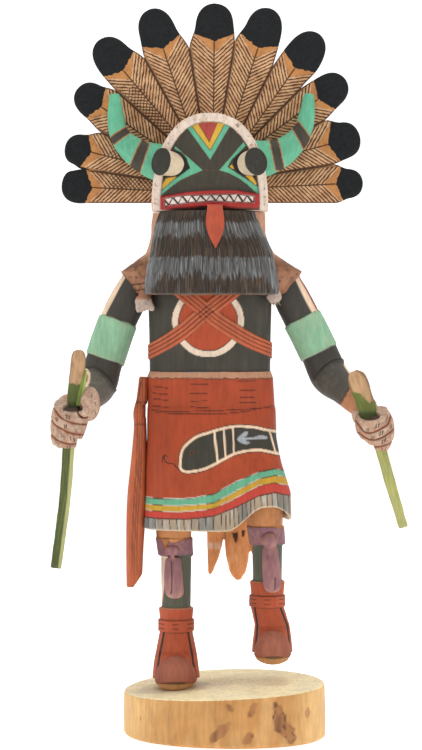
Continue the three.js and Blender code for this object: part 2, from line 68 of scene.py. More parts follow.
RUST = rgb(171, 82, 52)
RUST_LIGHT = rgb(190, 100, 68)
CHARCOAL = rgb(64, 61, 54)
BLACK_AND_SHADE = rgb(34, 31, 28)
CREAM = rgb(222, 200, 180)
TURQUOISE = rgb(98, 162, 130)


# ---------- number helpers ----------
def smooth(low, high, value):
    """0 below low, 1 above high, with soft ends."""
    t = np.clip((value - low) / (high - low), 0, 1)
    return t * t * (3 - 2 * t)


def mix(a, b, t):
    return a + (b - a) * t


def signed_power(value, exponent):
    return np.sign(value) * np.abs(value) ** exponent


SCATTER = (73856093, 19349663, 83492791)  # large primes that scatter neighbouring cells in the noise table


def noise(points, size, seed):
    """Smooth random values from -1 to 1, with lumps of the given size in millimetres."""
    table = np.random.default_rng(seed).random(4096) * 2 - 1
    p = np.asarray(points, float) / size
    cell = np.floor(p).astype(np.int64)
    f = p - cell
    f = f * f * (3 - 2 * f)
    total = np.zeros(p.shape[:-1])
    for dx in (0, 1):
        for dy in (0, 1):
            for dz in (0, 1):
                key = (cell[..., 0] + dx) * SCATTER[0]
                key ^= (cell[..., 1] + dy) * SCATTER[1]
                key ^= (cell[..., 2] + dz) * SCATTER[2]
                weight = (f[..., 0] if dx else 1 - f[..., 0]) * (f[..., 1] if dy else 1 - f[..., 1])
                total += table[key & 4095] * weight * (f[..., 2] if dz else 1 - f[..., 2])
    return total


def spline(points, count, closed=False):
    """A smooth curve through the points, as that many points."""
    p = np.asarray(points, float)
    n = len(p)
    spans = n if closed else n - 1
    t = np.linspace(0, spans, count, endpoint=not closed)
    k = np.minimum(t.astype(int), spans - 1)
    f = (t - k)[:, None]

    def corner(offset):
        index = k + offset
        if closed:
            return p[index % n]
        inside = p[np.clip(index, 0, n - 1)]
        before = (index < 0)[:, None]
        after = (index > n - 1)[:, None]
        return np.where(before, 2 * p[0] - p[1], np.where(after, 2 * p[-1] - p[-2], inside))

    a, b, c, d = corner(-1), corner(0), corner(1), corner(2)
    return 0.5 * (2 * b + (c - a) * f + (2 * a - 5 * b + 4 * c - d) * f**2 + (3 * b - a - 3 * c + d) * f**3)


def line_distance(points, line):
    """Distance from each 2D point to a polyline."""
    best = np.full(points.shape[:-1], 1e9)
    for a, b in zip(line[:-1], line[1:]):
        a, b = np.asarray(a, float), np.asarray(b, float)
        along = b - a
        t = np.clip(((points - a) @ along) / max(along @ along, 1e-12), 0, 1)
        best = np.minimum(best, np.linalg.norm(points - a - t[..., None] * along, axis=-1))
    return best


def shape_distance(points, outline):
    """Signed distance from each 2D point to a closed outline, negative inside."""
    outline = np.asarray(outline, float)
    ring = np.vstack([outline, outline[:1]])
    inside = np.zeros(points.shape[:-1], bool)
    x, z = points[..., 0], points[..., 1]
    for a, b in zip(ring[:-1], ring[1:]):
        crosses = (a[1] > z) != (b[1] > z)
        rise = b[1] - a[1] if abs(b[1] - a[1]) > 1e-9 else 1e-9
        inside ^= crosses & (x < a[0] + (z - a[1]) * (b[0] - a[0]) / rise)
    return np.where(inside, -1, 1) * line_distance(points, ring)


class Paint:
    """Colours laid on a surface one over another, each with a soft edge of a fraction of a millimetre."""

    def __init__(self, points, ground):
        self.points = points
        self.colour = np.tile(np.asarray(ground, float), (len(points), 1))

    def where(self, amount, colour):
        share = np.clip(amount, 0, 1)[:, None]
        self.colour = self.colour * (1 - share) + np.asarray(colour, float) * share
        return self

    def patches(self, amount, limits, size, seed, colour, stretch=(1, 1, 1), within=1.0):
        """Lets a colour through in soft random patches, where the noise is between the two limits."""
        cover = smooth(*limits, noise(self.points * stretch, size, seed))
        return self.where(within * cover * amount, colour)


def soft_step(distance, soft=0.3):
    """1 well inside a shape and 0 outside it."""
    return 1 - smooth(-soft / 2, soft / 2, distance)


# ---------- surfaces ----------
def tube_faces(rows, columns, start=0):
    """Quads of a grid of rings that close on themselves."""
    i, j = np.meshgrid(np.arange(rows - 1), np.arange(columns), indexing="ij")
    k = (j + 1) % columns
    quads = np.stack([i * columns + j, i * columns + k, (i + 1) * columns + k, (i + 1) * columns + j], -1)
    return quads.reshape(-1, 4) + start


def grid_faces(rows, columns):
    """Quads of an open grid."""
    return [(i * columns + j, i * columns + j + 1, (i + 1) * columns + j + 1, (i + 1) * columns + j)
            for i in range(rows - 1) for j in range(columns - 1)]


def loft(rings):
    """A closed skin through rings of equally many points: (points, faces)."""
    rings = np.asarray(rings, float)
    rows, columns = rings.shape[:2]
    points = np.vstack([rings.reshape(-1, 3), rings[0].mean(0), rings[-1].mean(0)])
    faces = [tuple(q) for q in tube_faces(rows, columns)]
    last = (rows - 1) * columns
    for j in range(columns):
        k = (j + 1) % columns
        faces.append((len(points) - 2, k, j))
        faces.append((len(points) - 1, last + j, last + k))
    return points, faces


def bar(path, sizes, sides, steps, square=2.0, across=(1, 0, 0)):
    """A flat-oval bar along a curve. Each size is (half width along "across", half width square to it)."""
    centre = spline(path, steps)
    size = spline(sizes, steps)
    along = np.gradient(centre, axis=0)
    along /= np.linalg.norm(along, axis=1, keepdims=True)
    across = np.asarray(across, float)
    side = across - (along @ across)[:, None] * along
    side /= np.linalg.norm(side, axis=1, keepdims=True)
    other = np.cross(along, side)
    a = np.linspace(0, 2 * np.pi, sides, endpoint=False)
    ca, sa = signed_power(np.cos(a), 2 / square), signed_power(np.sin(a), 2 / square)
    rings = (centre[:, None] + side[:, None] * (size[:, :1] * ca)[..., None]
             + other[:, None] * (size[:, 1:2] * sa)[..., None])
    return loft(rings)


def lump(centre, radii, count=32):
    """A ball stretched to three radii."""
    a = np.linspace(0, np.pi, count // 2 + 1)[1:-1]
    b = np.linspace(0, 2 * np.pi, count, endpoint=False)
    unit = np.stack([np.sin(a)[:, None] * np.cos(b), np.sin(a)[:, None] * np.sin(b),
                     np.cos(a)[:, None] * np.ones(count)], -1)
    return loft(np.asarray(centre) + unit * np.asarray(radii, float))


def slab(points, faces, front, back):
    """A flat sheet of faces made solid: front and back give the y of each point's two copies."""
    points = np.asarray(points, float)
    count = len(points)
    verts = np.vstack([np.stack([points[:, 0], front, points[:, 1]], -1),
                       np.stack([points[:, 0], back, points[:, 1]], -1)])
    edges = {}
    for face in faces:
        for a, b in zip(face, face[1:] + face[:1]):
            edges[(a, b)] = edges.get((a, b), 0) + 1
    rim = [(a, b) for a, b in edges if (b, a) not in edges]
    solid = [tuple(f) for f in faces] + [tuple(v + count for v in reversed(f)) for f in faces]
    solid += [(b, a, a + count, b + count) for a, b in rim]
    return verts, solid


def make_mesh(name, points, faces):
    mesh = bpy.data.meshes.new(name)
    mesh.from_pydata((np.asarray(points) * MM).tolist(), [], [tuple(int(v) for v in f) for f in faces])
    mesh.update()
    return mesh


def tidy_normals(obj):
    """Turns every face outwards."""
    work = bmesh.new()
    work.from_mesh(obj.data)
    bmesh.ops.recalc_face_normals(work, faces=work.faces)
    work.to_mesh(obj.data)
    work.free()


def make_object(name, points, faces):
    obj = bpy.data.objects.new(name, make_mesh(name, points, faces))
    bpy.context.scene.collection.objects.link(obj)
    tidy_normals(obj)
    return obj


def carve(name, points, faces):
    """A new piece with its points and their normals, ready to be cut and painted."""
    obj = make_object(name, points, faces)
    return obj, points_of(obj), normals_of(obj)


def apply_modifiers(obj):
    depsgraph = bpy.context.evaluated_depsgraph_get()
    mesh = bpy.data.meshes.new_from_object(obj.evaluated_get(depsgraph))
    obj.modifiers.clear()
    obj.data = mesh
    return obj


def join(shapes):
    """Several closed shapes as one list of points and one of faces."""
    points, faces = [], []
    for shape_points, shape_faces in shapes:
        start = sum(len(p) for p in points)
        points.append(np.asarray(shape_points))
        faces += [tuple(v + start for v in f) for f in shape_faces]
    return np.vstack(points), faces


def fuse(name, shapes, voxel):
    """Closed shapes grown together into one skin with facets of the voxel's size, then smoothed."""
    obj = make_object(name, *join(shapes))
    remesh = obj.modifiers.new("fuse", "REMESH")
    remesh.mode = "VOXEL"
    remesh.voxel_size = voxel * MM
    relax = obj.modifiers.new("relax", "SMOOTH")
    relax.factor = 0.5
    relax.iterations = 3
    return apply_modifiers(obj)


def points_of(obj):
    co = np.empty(len(obj.data.vertices) * 3)
    obj.data.vertices.foreach_get("co", co)
    return co.reshape(-1, 3) / MM


def normals_of(obj):
    n = np.empty(len(obj.data.vertices) * 3)
    obj.data.vertices.foreach_get("normal", n)
    return n.reshape(-1, 3)


def move_points(obj, points):
    obj.data.vertices.foreach_set("co", (np.asarray(points) * MM).ravel())
    obj.data.update()


def dress(obj, material, replaced, colours=None, values=None):
    """Gives a piece its paint and its material, hangs it on the root body and hides the solids it replaces.
    """
    mesh = obj.data
    mesh.polygons.foreach_set("use_smooth", np.ones(len(mesh.polygons), bool))
    if colours is not None:
        layer = mesh.color_attributes.new("Paint", "FLOAT_COLOR", "POINT")
        rgba = np.ones((len(mesh.vertices), 4))
        rgba[:, :3] = np.clip(colours, 0, 1)
        layer.data.foreach_set("color", rgba.ravel())
    for name, numbers in (values or {}).items():
        layer = mesh.attributes.new(name, "FLOAT", "POINT")
        layer.data.foreach_set("value", np.asarray(numbers, np.float32))
    mesh.materials.clear()
    mesh.materials.append(material)
    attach(obj, "root")
    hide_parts(*replaced)
    return obj


# ---------- materials ----------
class Nodes:
    """Short names for the shader nodes that the materials are built from."""

    def __init__(self, name):
        self.material = bpy.data.materials.new(name)
        self.material.use_nodes = True
        self.tree = self.material.node_tree
        self.shader = self.tree.nodes["Principled BSDF"]

    def add(self, kind, **settings):
        node = self.tree.nodes.new(kind)
        for key, value in settings.items():
            setattr(node, key, value)
        return node

    def link(self, source, target):
        if isinstance(source, (int, float)):
            target.default_value = source
        elif isinstance(source, (tuple, list, np.ndarray)):
            target.default_value = (*[float(v) for v in source], 1.0)[: len(target.default_value)]
        else:
            self.tree.links.new(source, target)

    def math(self, operation, *values):
        node = self.add("ShaderNodeMath", operation=operation)
        for value, socket in zip(values, node.inputs):
            self.link(value, socket)
        return node.outputs[0]

    def value(self, attribute):
        return self.add("ShaderNodeAttribute", attribute_name=attribute).outputs["Fac"]

    def paint(self):
        return self.add("ShaderNodeAttribute", attribute_name="Paint").outputs["Color"]

    def place(self, stretch=(1, 1, 1)):
        """Object coordinates in millimetres, squeezed along each axis."""
        coordinates = self.add("ShaderNodeTexCoord")
        mapping = self.add("ShaderNodeMapping")
        mapping.inputs["Scale"].default_value = [1 / MM * s for s in stretch]
        self.link(coordinates.outputs["Object"], mapping.inputs["Vector"])
        return mapping.outputs["Vector"]

    def noise(self, size, detail=4, stretch=(1, 1, 1), roughness=0.55):
        node = self.add("ShaderNodeTexNoise")
        node.inputs["Scale"].default_value = 1 / size
        node.inputs["Detail"].default_value = detail
        node.inputs["Roughness"].default_value = roughness
        self.link(self.place(stretch), node.inputs["Vector"])
        return node.outputs["Fac"]

    def span(self, value, low, high, to_low, to_high, soft=False):
        node = self.add("ShaderNodeMapRange")
        node.interpolation_type = "SMOOTHSTEP" if soft else "LINEAR"
        for socket, number in zip(node.inputs, (value, low, high, to_low, to_high)):
            self.link(number, socket)
        return node.outputs["Result"]

    def blend(self, share, a, b, mode="MIX"):
        node = self.add("ShaderNodeMix", data_type="RGBA", blend_type=mode)
        self.link(share, node.inputs["Factor"])
        self.link(a, node.inputs[6])
        self.link(b, node.inputs[7])
        return node.outputs[2]

    def bump(self, height, depth, before=None):
        """Depth in millimetres of relief for a height of 1."""
        node = self.add("ShaderNodeBump")
        node.inputs["Strength"].default_value = 1.0
        node.inputs["Distance"].default_value = depth * MM
        self.link(height, node.inputs["Height"])
        if before is not None:
            self.link(before, node.inputs["Normal"])
        return node.outputs["Normal"]


def painted(name, rough=0.62, vary=0.16, grain=0.05, grit=0.035, sheen=0.25):
    """Thin brushed paint over carved wood: the colour comes from the piece's own Paint layer."""
    n = Nodes(name)
    streak = n.noise(1.6, 5, (1, 1, 0.16))
    cloud = n.noise(9.0, 4)
    fine = n.noise(0.45, 3)
    shade = n.math("ADD", n.span(streak, 0.3, 0.7, 1 - vary, 1 + vary * 0.6),
                   n.span(cloud, 0.3, 0.7, -vary / 2, vary / 2))
    shade = n.math("ADD", shade, n.span(fine, 0.3, 0.7, -vary * 0.3, vary * 0.3))
    grey = n.add("ShaderNodeCombineColor")
    for socket in grey.inputs[:3]:
        n.link(shade, socket)
    n.link(n.blend(1.0, n.paint(), grey.outputs[0], "MULTIPLY"), n.shader.inputs["Base Color"])
    n.link(n.span(cloud, 0.3, 0.7, rough - 0.08, rough + 0.1), n.shader.inputs["Roughness"])
    n.shader.inputs["Specular IOR Level"].default_value = sheen
    relief = n.bump(streak, grain)
    n.link(n.bump(fine, grit, relief), n.shader.inputs["Normal"])
    return n.material


# ---------- camera, floor and light ----------
LENS, SENSOR = 115.2, 36.0
CAMERA_AT = (-6.5, -1200.0, 203.0)  # millimetres
CAMERA_DIP = 1.13  # degrees below level
SKY = 0.22  # strength of the even light from all round
PAPER_GLOW = 0.72
LAMP_TINT = (1.0, 0.98, 0.93)
LAMPS = [  # name, place and size in millimetres, power in watts
    ("left_softbox", (-900, -350, 420), 700, 3.1),
    ("right_softbox", (900, -350, 420), 700, 3.1),
    ("front_softbox", (0, -1500, 900), 900, 3.4),
    ("top_softbox", (0, -100, 1300), 900, 9.2),
]
LAMPS_AIM = (AXIS, 0, 190)


def set_stage():
    camera = bpy.data.objects.new("camera", bpy.data.cameras.new("camera"))
    camera.data.lens = LENS
    camera.data.sensor_width = SENSOR
    camera.location = Vector(CAMERA_AT) * MM
    camera.rotation_euler = (math.radians(90 - CAMERA_DIP), 0, 0)
    bpy.context.scene.collection.objects.link(camera)
    bpy.context.scene.camera = camera

    world = bpy.data.worlds.new("studio")
    world.use_nodes = True
    world.node_tree.nodes["Background"].inputs["Color"].default_value = (1, 1, 1, 1)
    world.node_tree.nodes["Background"].inputs["Strength"].default_value = SKY
    bpy.context.scene.world = world

    # A sweep of pale paper: floor in front, curving up behind.
    reach, rise, bend = 60000.0, 30000.0, 6000.0
    turn = np.linspace(0, np.pi / 2, 16)
    profile = [(-reach, 0.0), (reach * 0.4, 0.0)]
    profile += [(reach * 0.4 + bend * math.sin(a), bend * (1 - math.cos(a))) for a in turn[1:]]
    profile.append((reach * 0.4 + bend, rise))
    points = [(side * reach, y, z) for y, z in profile for side in (-1, 1)]
    faces = [(2 * i, 2 * i + 1, 2 * i + 3, 2 * i + 2) for i in range(len(profile) - 1)]
    sweep = bpy.data.objects.new("sweep", make_mesh("sweep", points, faces))
    bpy.context.scene.collection.objects.link(sweep)
    paper = Nodes("paper")
    n = paper.shader.inputs
    paper.link(paper.span(paper.noise(600, 2), 0.3, 0.7, 0.86, 0.88), n["Roughness"])
    n["Base Color"].default_value = (0.93, 0.93, 0.93, 1)
    n["Emission Color"].default_value = (1, 1, 1, 1)
    n["Emission Strength"].default_value = PAPER_GLOW
    sweep.data.materials.append(paper.material)

    for name, place, size, power in LAMPS:
        light = bpy.data.lights.new(name, "AREA")
        light.size = size * MM
        light.energy = power
        light.color = LAMP_TINT
        obj = bpy.data.objects.new(name, light)
        obj.location = Vector(place) * MM
        aim = Vector(LAMPS_AIM) * MM - obj.location
        obj.rotation_euler = aim.to_track_quat("-Z", "Y").to_euler()
        bpy.context.scene.collection.objects.link(obj)


bpy.context.scene.view_settings.view_transform = "Standard"
set_stage()
PAINTED = painted("painted_wood")

# ---------- crown ----------
# Each feather, from the fan's centre: where its dark tip begins on the quill (across, up), its lean from
# upright in degrees, the length of the tip beyond that and the tip's half width.
FEATHERS = [
    (-61, 0.7, -87.3, 15.5, 8.3), (-61.3, 18.5, -76, 13.7, 8), (-56.2, 41.2, -55.8, 15.4, 8.9),
    (-45.1, 59.5, -40.2, 19.9, 9.7), (-25.1, 70.7, -18.4, 21, 9.6), (0.6, 74.2, 0.5, 19.3, 9.8),
    (22.7, 70.9, 18, 21, 9.6), (41.3, 60.8, 35, 21.2, 9.9), (53.1, 45.3, 53.6, 17, 9.1),
    (57.9, 22.4, 75, 16.8, 9.4), (61.9, 2.5, 87.3, 13.8, 7.6),
]
# Where neighbouring feathers part, from the fan's centre (across, up).
NOTCHES = [
    (-66.3, 10), (-56.4, 28.4), (-49.1, 49.6), (-34.6, 65.9), (-12, 71), (11, 74.7),
    (30.3, 62.3), (44.3, 50.8), (56.4, 34.7), (60.9, 12.6),
]
HATCHED = {0: 1, 1: 1, 3: -1}  # feathers hatched twice, and on which side of the quill
FAN_ROOT = 24.0  # radius of the plain plate where the feathers run together
BARB_PITCH, HATCH_PITCH = 2.1, 2.2  # millimetres between burnt strokes
BARB_LEAN = 0.95  # how steeply the strokes leave the quill
BARE_FROM = -5.6  # where the strokes stop, along the quill from the dark tip


def feather_material():
    """Stained wood with burnt barbs, painted shadow lines along the edges, a bare stretch and a dark tip,
    in each feather's own coordinates.
    """
    n = Nodes("feather_wood")
    along, across = n.value("along"), n.value("across")
    side = n.math("ABSOLUTE", across)
    wobble = n.span(n.noise(2.2, 3), 0.3, 0.7, -0.3, 0.3)

    def strokes(place, pitch, thick):
        steps = n.math("DIVIDE", n.math("ADD", place, wobble), pitch)
        phase = n.math("FRACT", n.math("ADD", steps, 100.0))
        away = n.math("ABSOLUTE", n.math("SUBTRACT", phase, 0.5))
        return n.math("SUBTRACT", 1.0, n.span(n.math("SUBTRACT", away, thick), -0.07, 0.07, 0.0, 1.0, True))

    lean = n.math("ADD", n.math("MULTIPLY", side, -BARB_LEAN), along)
    barbs = strokes(lean, BARB_PITCH, n.span(n.noise(3.0, 3), 0.3, 0.7, 0.13, 0.27))
    # A few feathers are hatched a second time, across the first strokes.
    over = n.math("ADD", n.math("MULTIPLY", side, BARB_LEAN), along)
    hatch = strokes(over, HATCH_PITCH, 0.13)
    hatch = n.math("MULTIPLY", hatch, n.span(n.value("hatch"), 0.35, 0.65, 0.0, 1.0, True))
    barbs = n.math("MAXIMUM", barbs, hatch)
    zone = n.span(n.math("SUBTRACT", lean, n.math("ADD", BARE_FROM, wobble)), -0.3, 0.3, 1.0, 0.0, True)
    barbs = n.math("MULTIPLY", barbs, zone)
    quill = n.span(side, 0.2, 0.45, 1.0, 0.0, True)
    quill = n.math("MULTIPLY", quill, n.span(along, -0.5, 0.5, 1.0, 0.0))
    # Painted shadow lines along each feather's edges, between neighbouring feathers; the bump below also
    # presses them in.
    groove = n.span(n.value("edge"), 0.35, 0.8, 1.0, 0.0, True)
    burnt = n.math("MAXIMUM", n.math("MAXIMUM", barbs, quill), n.math("MULTIPLY", groove, zone))
    ground = n.blend(n.span(n.noise(6, 4), 0.35, 0.65, 0.0, 1.0), rgb(208, 166, 126), rgb(182, 136, 98))
    bare = n.blend(n.span(n.noise(3, 4), 0.3, 0.7, 0.0, 1.0), rgb(192, 136, 82), rgb(168, 114, 69))
    wood = n.blend(zone, bare, ground)
    ink = n.blend(n.span(n.noise(4, 3), 0.35, 0.65, 0.0, 1.0), rgb(46, 30, 23), rgb(72, 44, 31))
    wood = n.blend(n.math("MULTIPLY", burnt, 0.92), wood, ink)
    dip = n.math("MULTIPLY", side, 0.42)
    tip = n.math("SUBTRACT", along, n.math("ADD", dip, n.math("MULTIPLY", wobble, 1.6)))
    tip = n.span(tip, -0.15, 0.15, 0.0, 1.0, True)
    black = n.blend(n.span(n.noise(1.4, 4), 0.3, 0.7, 0.0, 1.0), rgb(24, 25, 26), rgb(33, 35, 38))
    n.link(n.blend(tip, wood, black), n.shader.inputs["Base Color"])
    n.link(n.span(tip, 0, 1, 0.6, 0.78), n.shader.inputs["Roughness"])
    n.shader.inputs["Specular IOR Level"].default_value = 0.16
    cut = n.bump(n.math("SUBTRACT", 1.0, burnt), 0.16)
    n.link(n.bump(n.noise(0.5, 3), 0.03, cut), n.shader.inputs["Normal"])
    return n.material


def crown_sheet():
    """The fan's flat outline as one welded sheet, with each point's place on its own feather."""
    columns, body_rows, tip_rows = 16, 44, 20
    low_edge = -7.0
    points, faces, along, across, edge, hatch = [], [], [], [], [], []
    index = {}

    def vertex(p, quill, direction, width, hatched):
        key = (round(p[0], 3), round(p[1], 3))
        if key not in index:
            index[key] = len(points)
            offset = p - quill
            normal = np.array([direction[1], -direction[0]])
            points.append(p)
            along.append(offset @ direction)
            across.append(offset @ normal)
            edge.append(width)
            hatch.append(hatched)
        return index[key]

    for k, (qx, qz, lean, tip, half) in enumerate(FEATHERS):
        quill = np.array([qx, qz], float)
        turn = math.radians(lean)
        direction = np.array([math.sin(turn), math.cos(turn)])
        normal = np.array([direction[1], -direction[0]])
        sides = []
        for step, notch_index in ((-1, k - 1), (1, k)):
            if 0 <= notch_index < len(NOTCHES):
                notch = np.array(NOTCHES[notch_index], float)
                aim = math.radians((lean + FEATHERS[k + step][2]) / 2)
                length = min((np.linalg.norm(notch) - FAN_ROOT), 60.0)
                root = notch - length * np.array([math.sin(aim), math.cos(aim)])
            else:
                notch = quill + normal * step * half * 1.02
                notch[1] = low_edge
                root = np.array([math.copysign(FAN_ROOT, qx), low_edge])
            sides.append((root, notch))
        left, right = sides
        rows = []
        for i in range(body_rows + 1):
            t = i / body_rows
            a, b = mix(left[0], left[1], t), mix(right[0], right[1], t)
            rows.append([mix(a, b, j / columns) for j in range(columns + 1)])
        ends = [(notch - quill) @ direction for _, notch in sides]
        offs = [(notch - quill) @ normal for _, notch in sides]
        for i in range(1, tip_rows + 1):
            t = math.sin(i / tip_rows * math.pi / 2)
            edge_points = []
            for end, off in zip(ends, offs):
                reach = mix(end, tip, t)
                u = max(0.0, (reach - end) / (tip - end))
                narrow = mix(abs(off), half, smooth(0.0, 0.5, u))
                width = narrow * max(1 - u**4.4, 0.0) ** 0.5
                edge_points.append(quill + direction * reach + normal * math.copysign(max(width, 0.4), off))
            a, b = edge_points
            rows.append([mix(a, b, j / columns) for j in range(columns + 1)])
        ids = []
        for i, row in enumerate(rows):
            span = np.linalg.norm(row[-1] - row[0])
            hatched = [k in HATCHED and (j - columns / 2) * HATCHED[k] >= 0 for j in range(columns + 1)]
            ids.append([vertex(p, quill, direction, min(j, columns - j) / columns * span, float(hatched[j]))
                        for j, p in enumerate(row)])
        for i in range(len(ids) - 1):
            for j in range(columns):
                quad = [ids[i][j], ids[i][j + 1], ids[i + 1][j + 1], ids[i + 1][j]]
                quad = [v for n, v in enumerate(quad) if v not in quad[:n]]
                if len(quad) > 2:
                    faces.append(tuple(quad))
    return np.array(points), faces, np.array(along), np.array(across), np.array(edge), np.array(hatch)


def make_crown():
    low, high = box_mm("crown")
    centre = np.array([low[0] + 76.4, low[2] + 7.0])
    points, faces, along, across, edge, hatch = crown_sheet()
    ridge = 1.0 - np.clip(np.abs(across) / 11.5, 0, 1)
    rounding = smooth(0, 1.6, edge)
    front = high[1] - 2.3 - 1.1 * ridge + 0.9 * (1 - rounding)
    front -= 0.2 * smooth(0.7, 0.2, np.abs(across)) * smooth(0.5, -0.5, along)
    back = np.full(len(points), high[1]) - 0.5 * (1 - rounding)
    verts, solid = slab(points + centre, faces, front, back)
    obj = make_object("feather_crown", verts, solid)
    # The same points follow again for the back, without their painted edge shadows and second hatching.
    values = {
        "along": np.tile(along, 2),
        "across": np.tile(across, 2),
        "edge": np.concatenate([edge, edge + 9]),
        "hatch": np.concatenate([hatch * (along < -9), 0 * hatch]),
    }
    return dress(obj, feather_material(), ["crown"], values=values)


make_crown()


# ---------- skins made of level rings ----------
def row_table(rows, step, soft):
    """Rows (height first) filled in every step millimetres, with their corners rounded over soft."""
    rows = np.asarray(rows, float)
    order = np.argsort(rows[:, 0])
    rows = rows[order]
    heights = np.linspace(rows[0, 0], rows[-1, 0], max(int((rows[-1, 0] - rows[0, 0]) / step), 2) + 1)
    fine = np.linspace(-1, 1, 9)
    total = np.zeros((len(heights), rows.shape[1] - 1))
    for offset in fine:
        for k in range(1, rows.shape[1]):
            total[:, k - 1] += np.interp(heights + offset * soft, rows[:, 0], rows[:, k]) / len(fine)
    return np.column_stack([heights, total])


def front_angles(count, bias=0.0):
    """Angles round a ring, closer together towards the front by the given share."""
    t = np.linspace(0, 2 * np.pi, count, endpoint=False)
    return t - bias * np.cos(t)


def oval(angles, z, x, y, wide, deep, square=SQUARE):
    """A ring at one height or at a height for each angle."""
    px = x + wide * signed_power(np.cos(angles), 2 / square)
    py = y + deep * signed_power(np.sin(angles), 2 / square)
    return np.stack([px, py, np.broadcast_to(z, px.shape)], -1)


def ring_skin(table, angles, square=SQUARE):
    """Rings of rows (height, x, y, half width, half depth)."""
    return np.array([oval(angles, *row, square) for row in table])


def ridge_line(distance, half):
    """1 on a cut line, falling to 0 at its edges."""
    return np.clip(1 - np.abs(distance) / half, 0, 1)


def flat(points):
    """The x and z of points, for shapes drawn from the front."""
    return points[:, [0, 2]]


# ---------- trunk, with its crossed bandoliers ----------
STRAP_LINES = [
    spline([(-31.5, 190.2), (-20.3, 196.5), (-11.8, 202.4), (-4.8, 208.5), (4.9, 216), (14, 223.4)], 30),
    spline([(31.5, 191.6), (20.1, 196.5), (10, 202.4), (2, 207.8), (-8.1, 216.3), (-17, 223.6)], 30),
]
RING_CENTRE, RING_OUT, RING_IN = (-1.0, 206.1), 17.6, 14.7
STRAP_HALF, STRAP_LIFT, STRAP_BACK = 3.75, 0.85, 191  # half width, relief, and height behind
CORDS = (-1.85, 0.0, 1.85)  # where a bandolier's three grooves run, across it


def side_of(points, line):
    """Signed distance from a line: positive above it."""
    best = np.full(len(points), 1e9)
    sign = np.zeros(len(points))
    for a, b in zip(line[:-1], line[1:]):
        along = b - a
        t = np.clip(((points - a) @ along) / (along @ along), 0, 1)
        gap = points - a - t[:, None] * along
        d = np.linalg.norm(gap, axis=1)
        cross = along[0] * gap[:, 1] - along[1] * gap[:, 0]
        closer = d < best
        best = np.where(closer, d, best)
        sign = np.where(closer, np.sign(cross) * np.sign(along[0]), sign)
    return best * sign


def make_trunk():
    rows = [(252, AXIS, 1, 12, 12), (244, AXIS, 1, 12, 12), (238, AXIS, 1, 22, 13),
            (232, AXIS, 1, 29.4, 15.6), (224, AXIS, 1, 31, 17), (200, AXIS, 1, 30.4, 17.4),
            (172, AXIS, 1, 30, 17.4)]
    rings = ring_skin(row_table(rows, 0.48, 1.5), front_angles(220, 0.45))
    obj, p, n = carve("trunk", *loft(rings))
    q = flat(p) - [AXIS, 0]
    straps = []
    for line in STRAP_LINES:
        across = side_of(q, line)
        half = STRAP_HALF - 0.35 * smooth(12, 30, np.abs(q[:, 0]))
        behind = np.abs(p[:, 2] - STRAP_BACK) - half
        inside = np.where(p[:, 1] < 1, np.abs(across) - half, behind)
        straps.append((inside, np.where(p[:, 1] < 1, across, p[:, 2] - STRAP_BACK)))
    lift = np.zeros(len(p))
    for inside, across in straps:
        cord = sum(ridge_line(across - at, 0.42) for at in CORDS)
        height = STRAP_LIFT * smooth(0.35, -0.45, inside) * (1 - 0.5 * np.clip(cord, 0, 1))
        lift = np.maximum(lift, height)
    cross = (straps[0][0] < 0) & (straps[1][0] < 0)
    both = np.zeros(len(p))
    for inside, across in straps:
        both = np.maximum(both, sum(ridge_line(across - at, 0.42) for at in CORDS) * (inside < 0.1))
    lift = np.where(cross, STRAP_LIFT * (1 - 0.5 * np.clip(both, 0, 1)), lift)
    lift += 0.12 * noise(p * [1, 1, 0.3], 4, 21)
    move_points(obj, p + n * lift[:, None])

    paint = Paint(p, CHARCOAL)
    paint.patches(0.35, (0.1, 0.8), 3.5, 5, rgb(84, 76, 66), [1, 1, 0.25])
    front = p[:, 1] < 6
    d = np.linalg.norm(q - RING_CENTRE, axis=1) + 0.25 * noise(p, 5, 8)
    shown = front * 1.0
    paint.where(shown * soft_step(d - RING_OUT - 0.3), BLACK_AND_SHADE)
    paint.where(shown * soft_step(d - RING_OUT), CREAM)
    paint.where(shown * soft_step(d - RING_IN), BLACK_AND_SHADE)
    paint.where(shown * soft_step(d - RING_IN + 0.45), rgb(170, 74, 46))
    for inside, across in straps:
        paint.where(soft_step(inside - 0.25), rgb(52, 34, 26))
        paint.where(soft_step(inside), mix(RUST_LIGHT, RUST, 0.4))
        # A painted highlight along the upper edge of each bandolier.
        paint.where(soft_step(inside) * smooth(half - 1.2, half, across) * 0.5, rgb(204, 132, 92))
    for inside, across in straps:
        for at in CORDS:
            paint.where(soft_step(inside + 0.1) * soft_step(np.abs(across - at) - 0.2, 0.25),
                        rgb(58, 34, 26))
    # Painted shade on the chest where it runs up under the beard.
    shade = smooth(216, 222, p[:, 2]) * (p[:, 1] < 0)
    paint.where(shade * 0.35, BLACK_AND_SHADE)
    dress(obj, PAINTED, ["figure"], paint.colour)


# ---------- kilt ----------
KILT_AT = [-44, -38, -27, -16, -5, 6, 17, 25, 31, 36]  # x of the heights that follow
BAND_EDGES = [
    [118.6, 118.7, 118.7, 119.2, 121.4, 127.4, 131.8, 133.2, 131.6, 130.4],
    [115.3, 115.4, 115.5, 115.7, 117, 122.8, 128.5, 129.9, 128.8, 128],
    [112.5, 112.6, 112.4, 112.8, 114.3, 119.5, 125.3, 126.4, 124.8, 124],
    [108.8, 108.8, 108.8, 109.2, 110.7, 115.1, 120.3, 121.7, 120, 119],
]
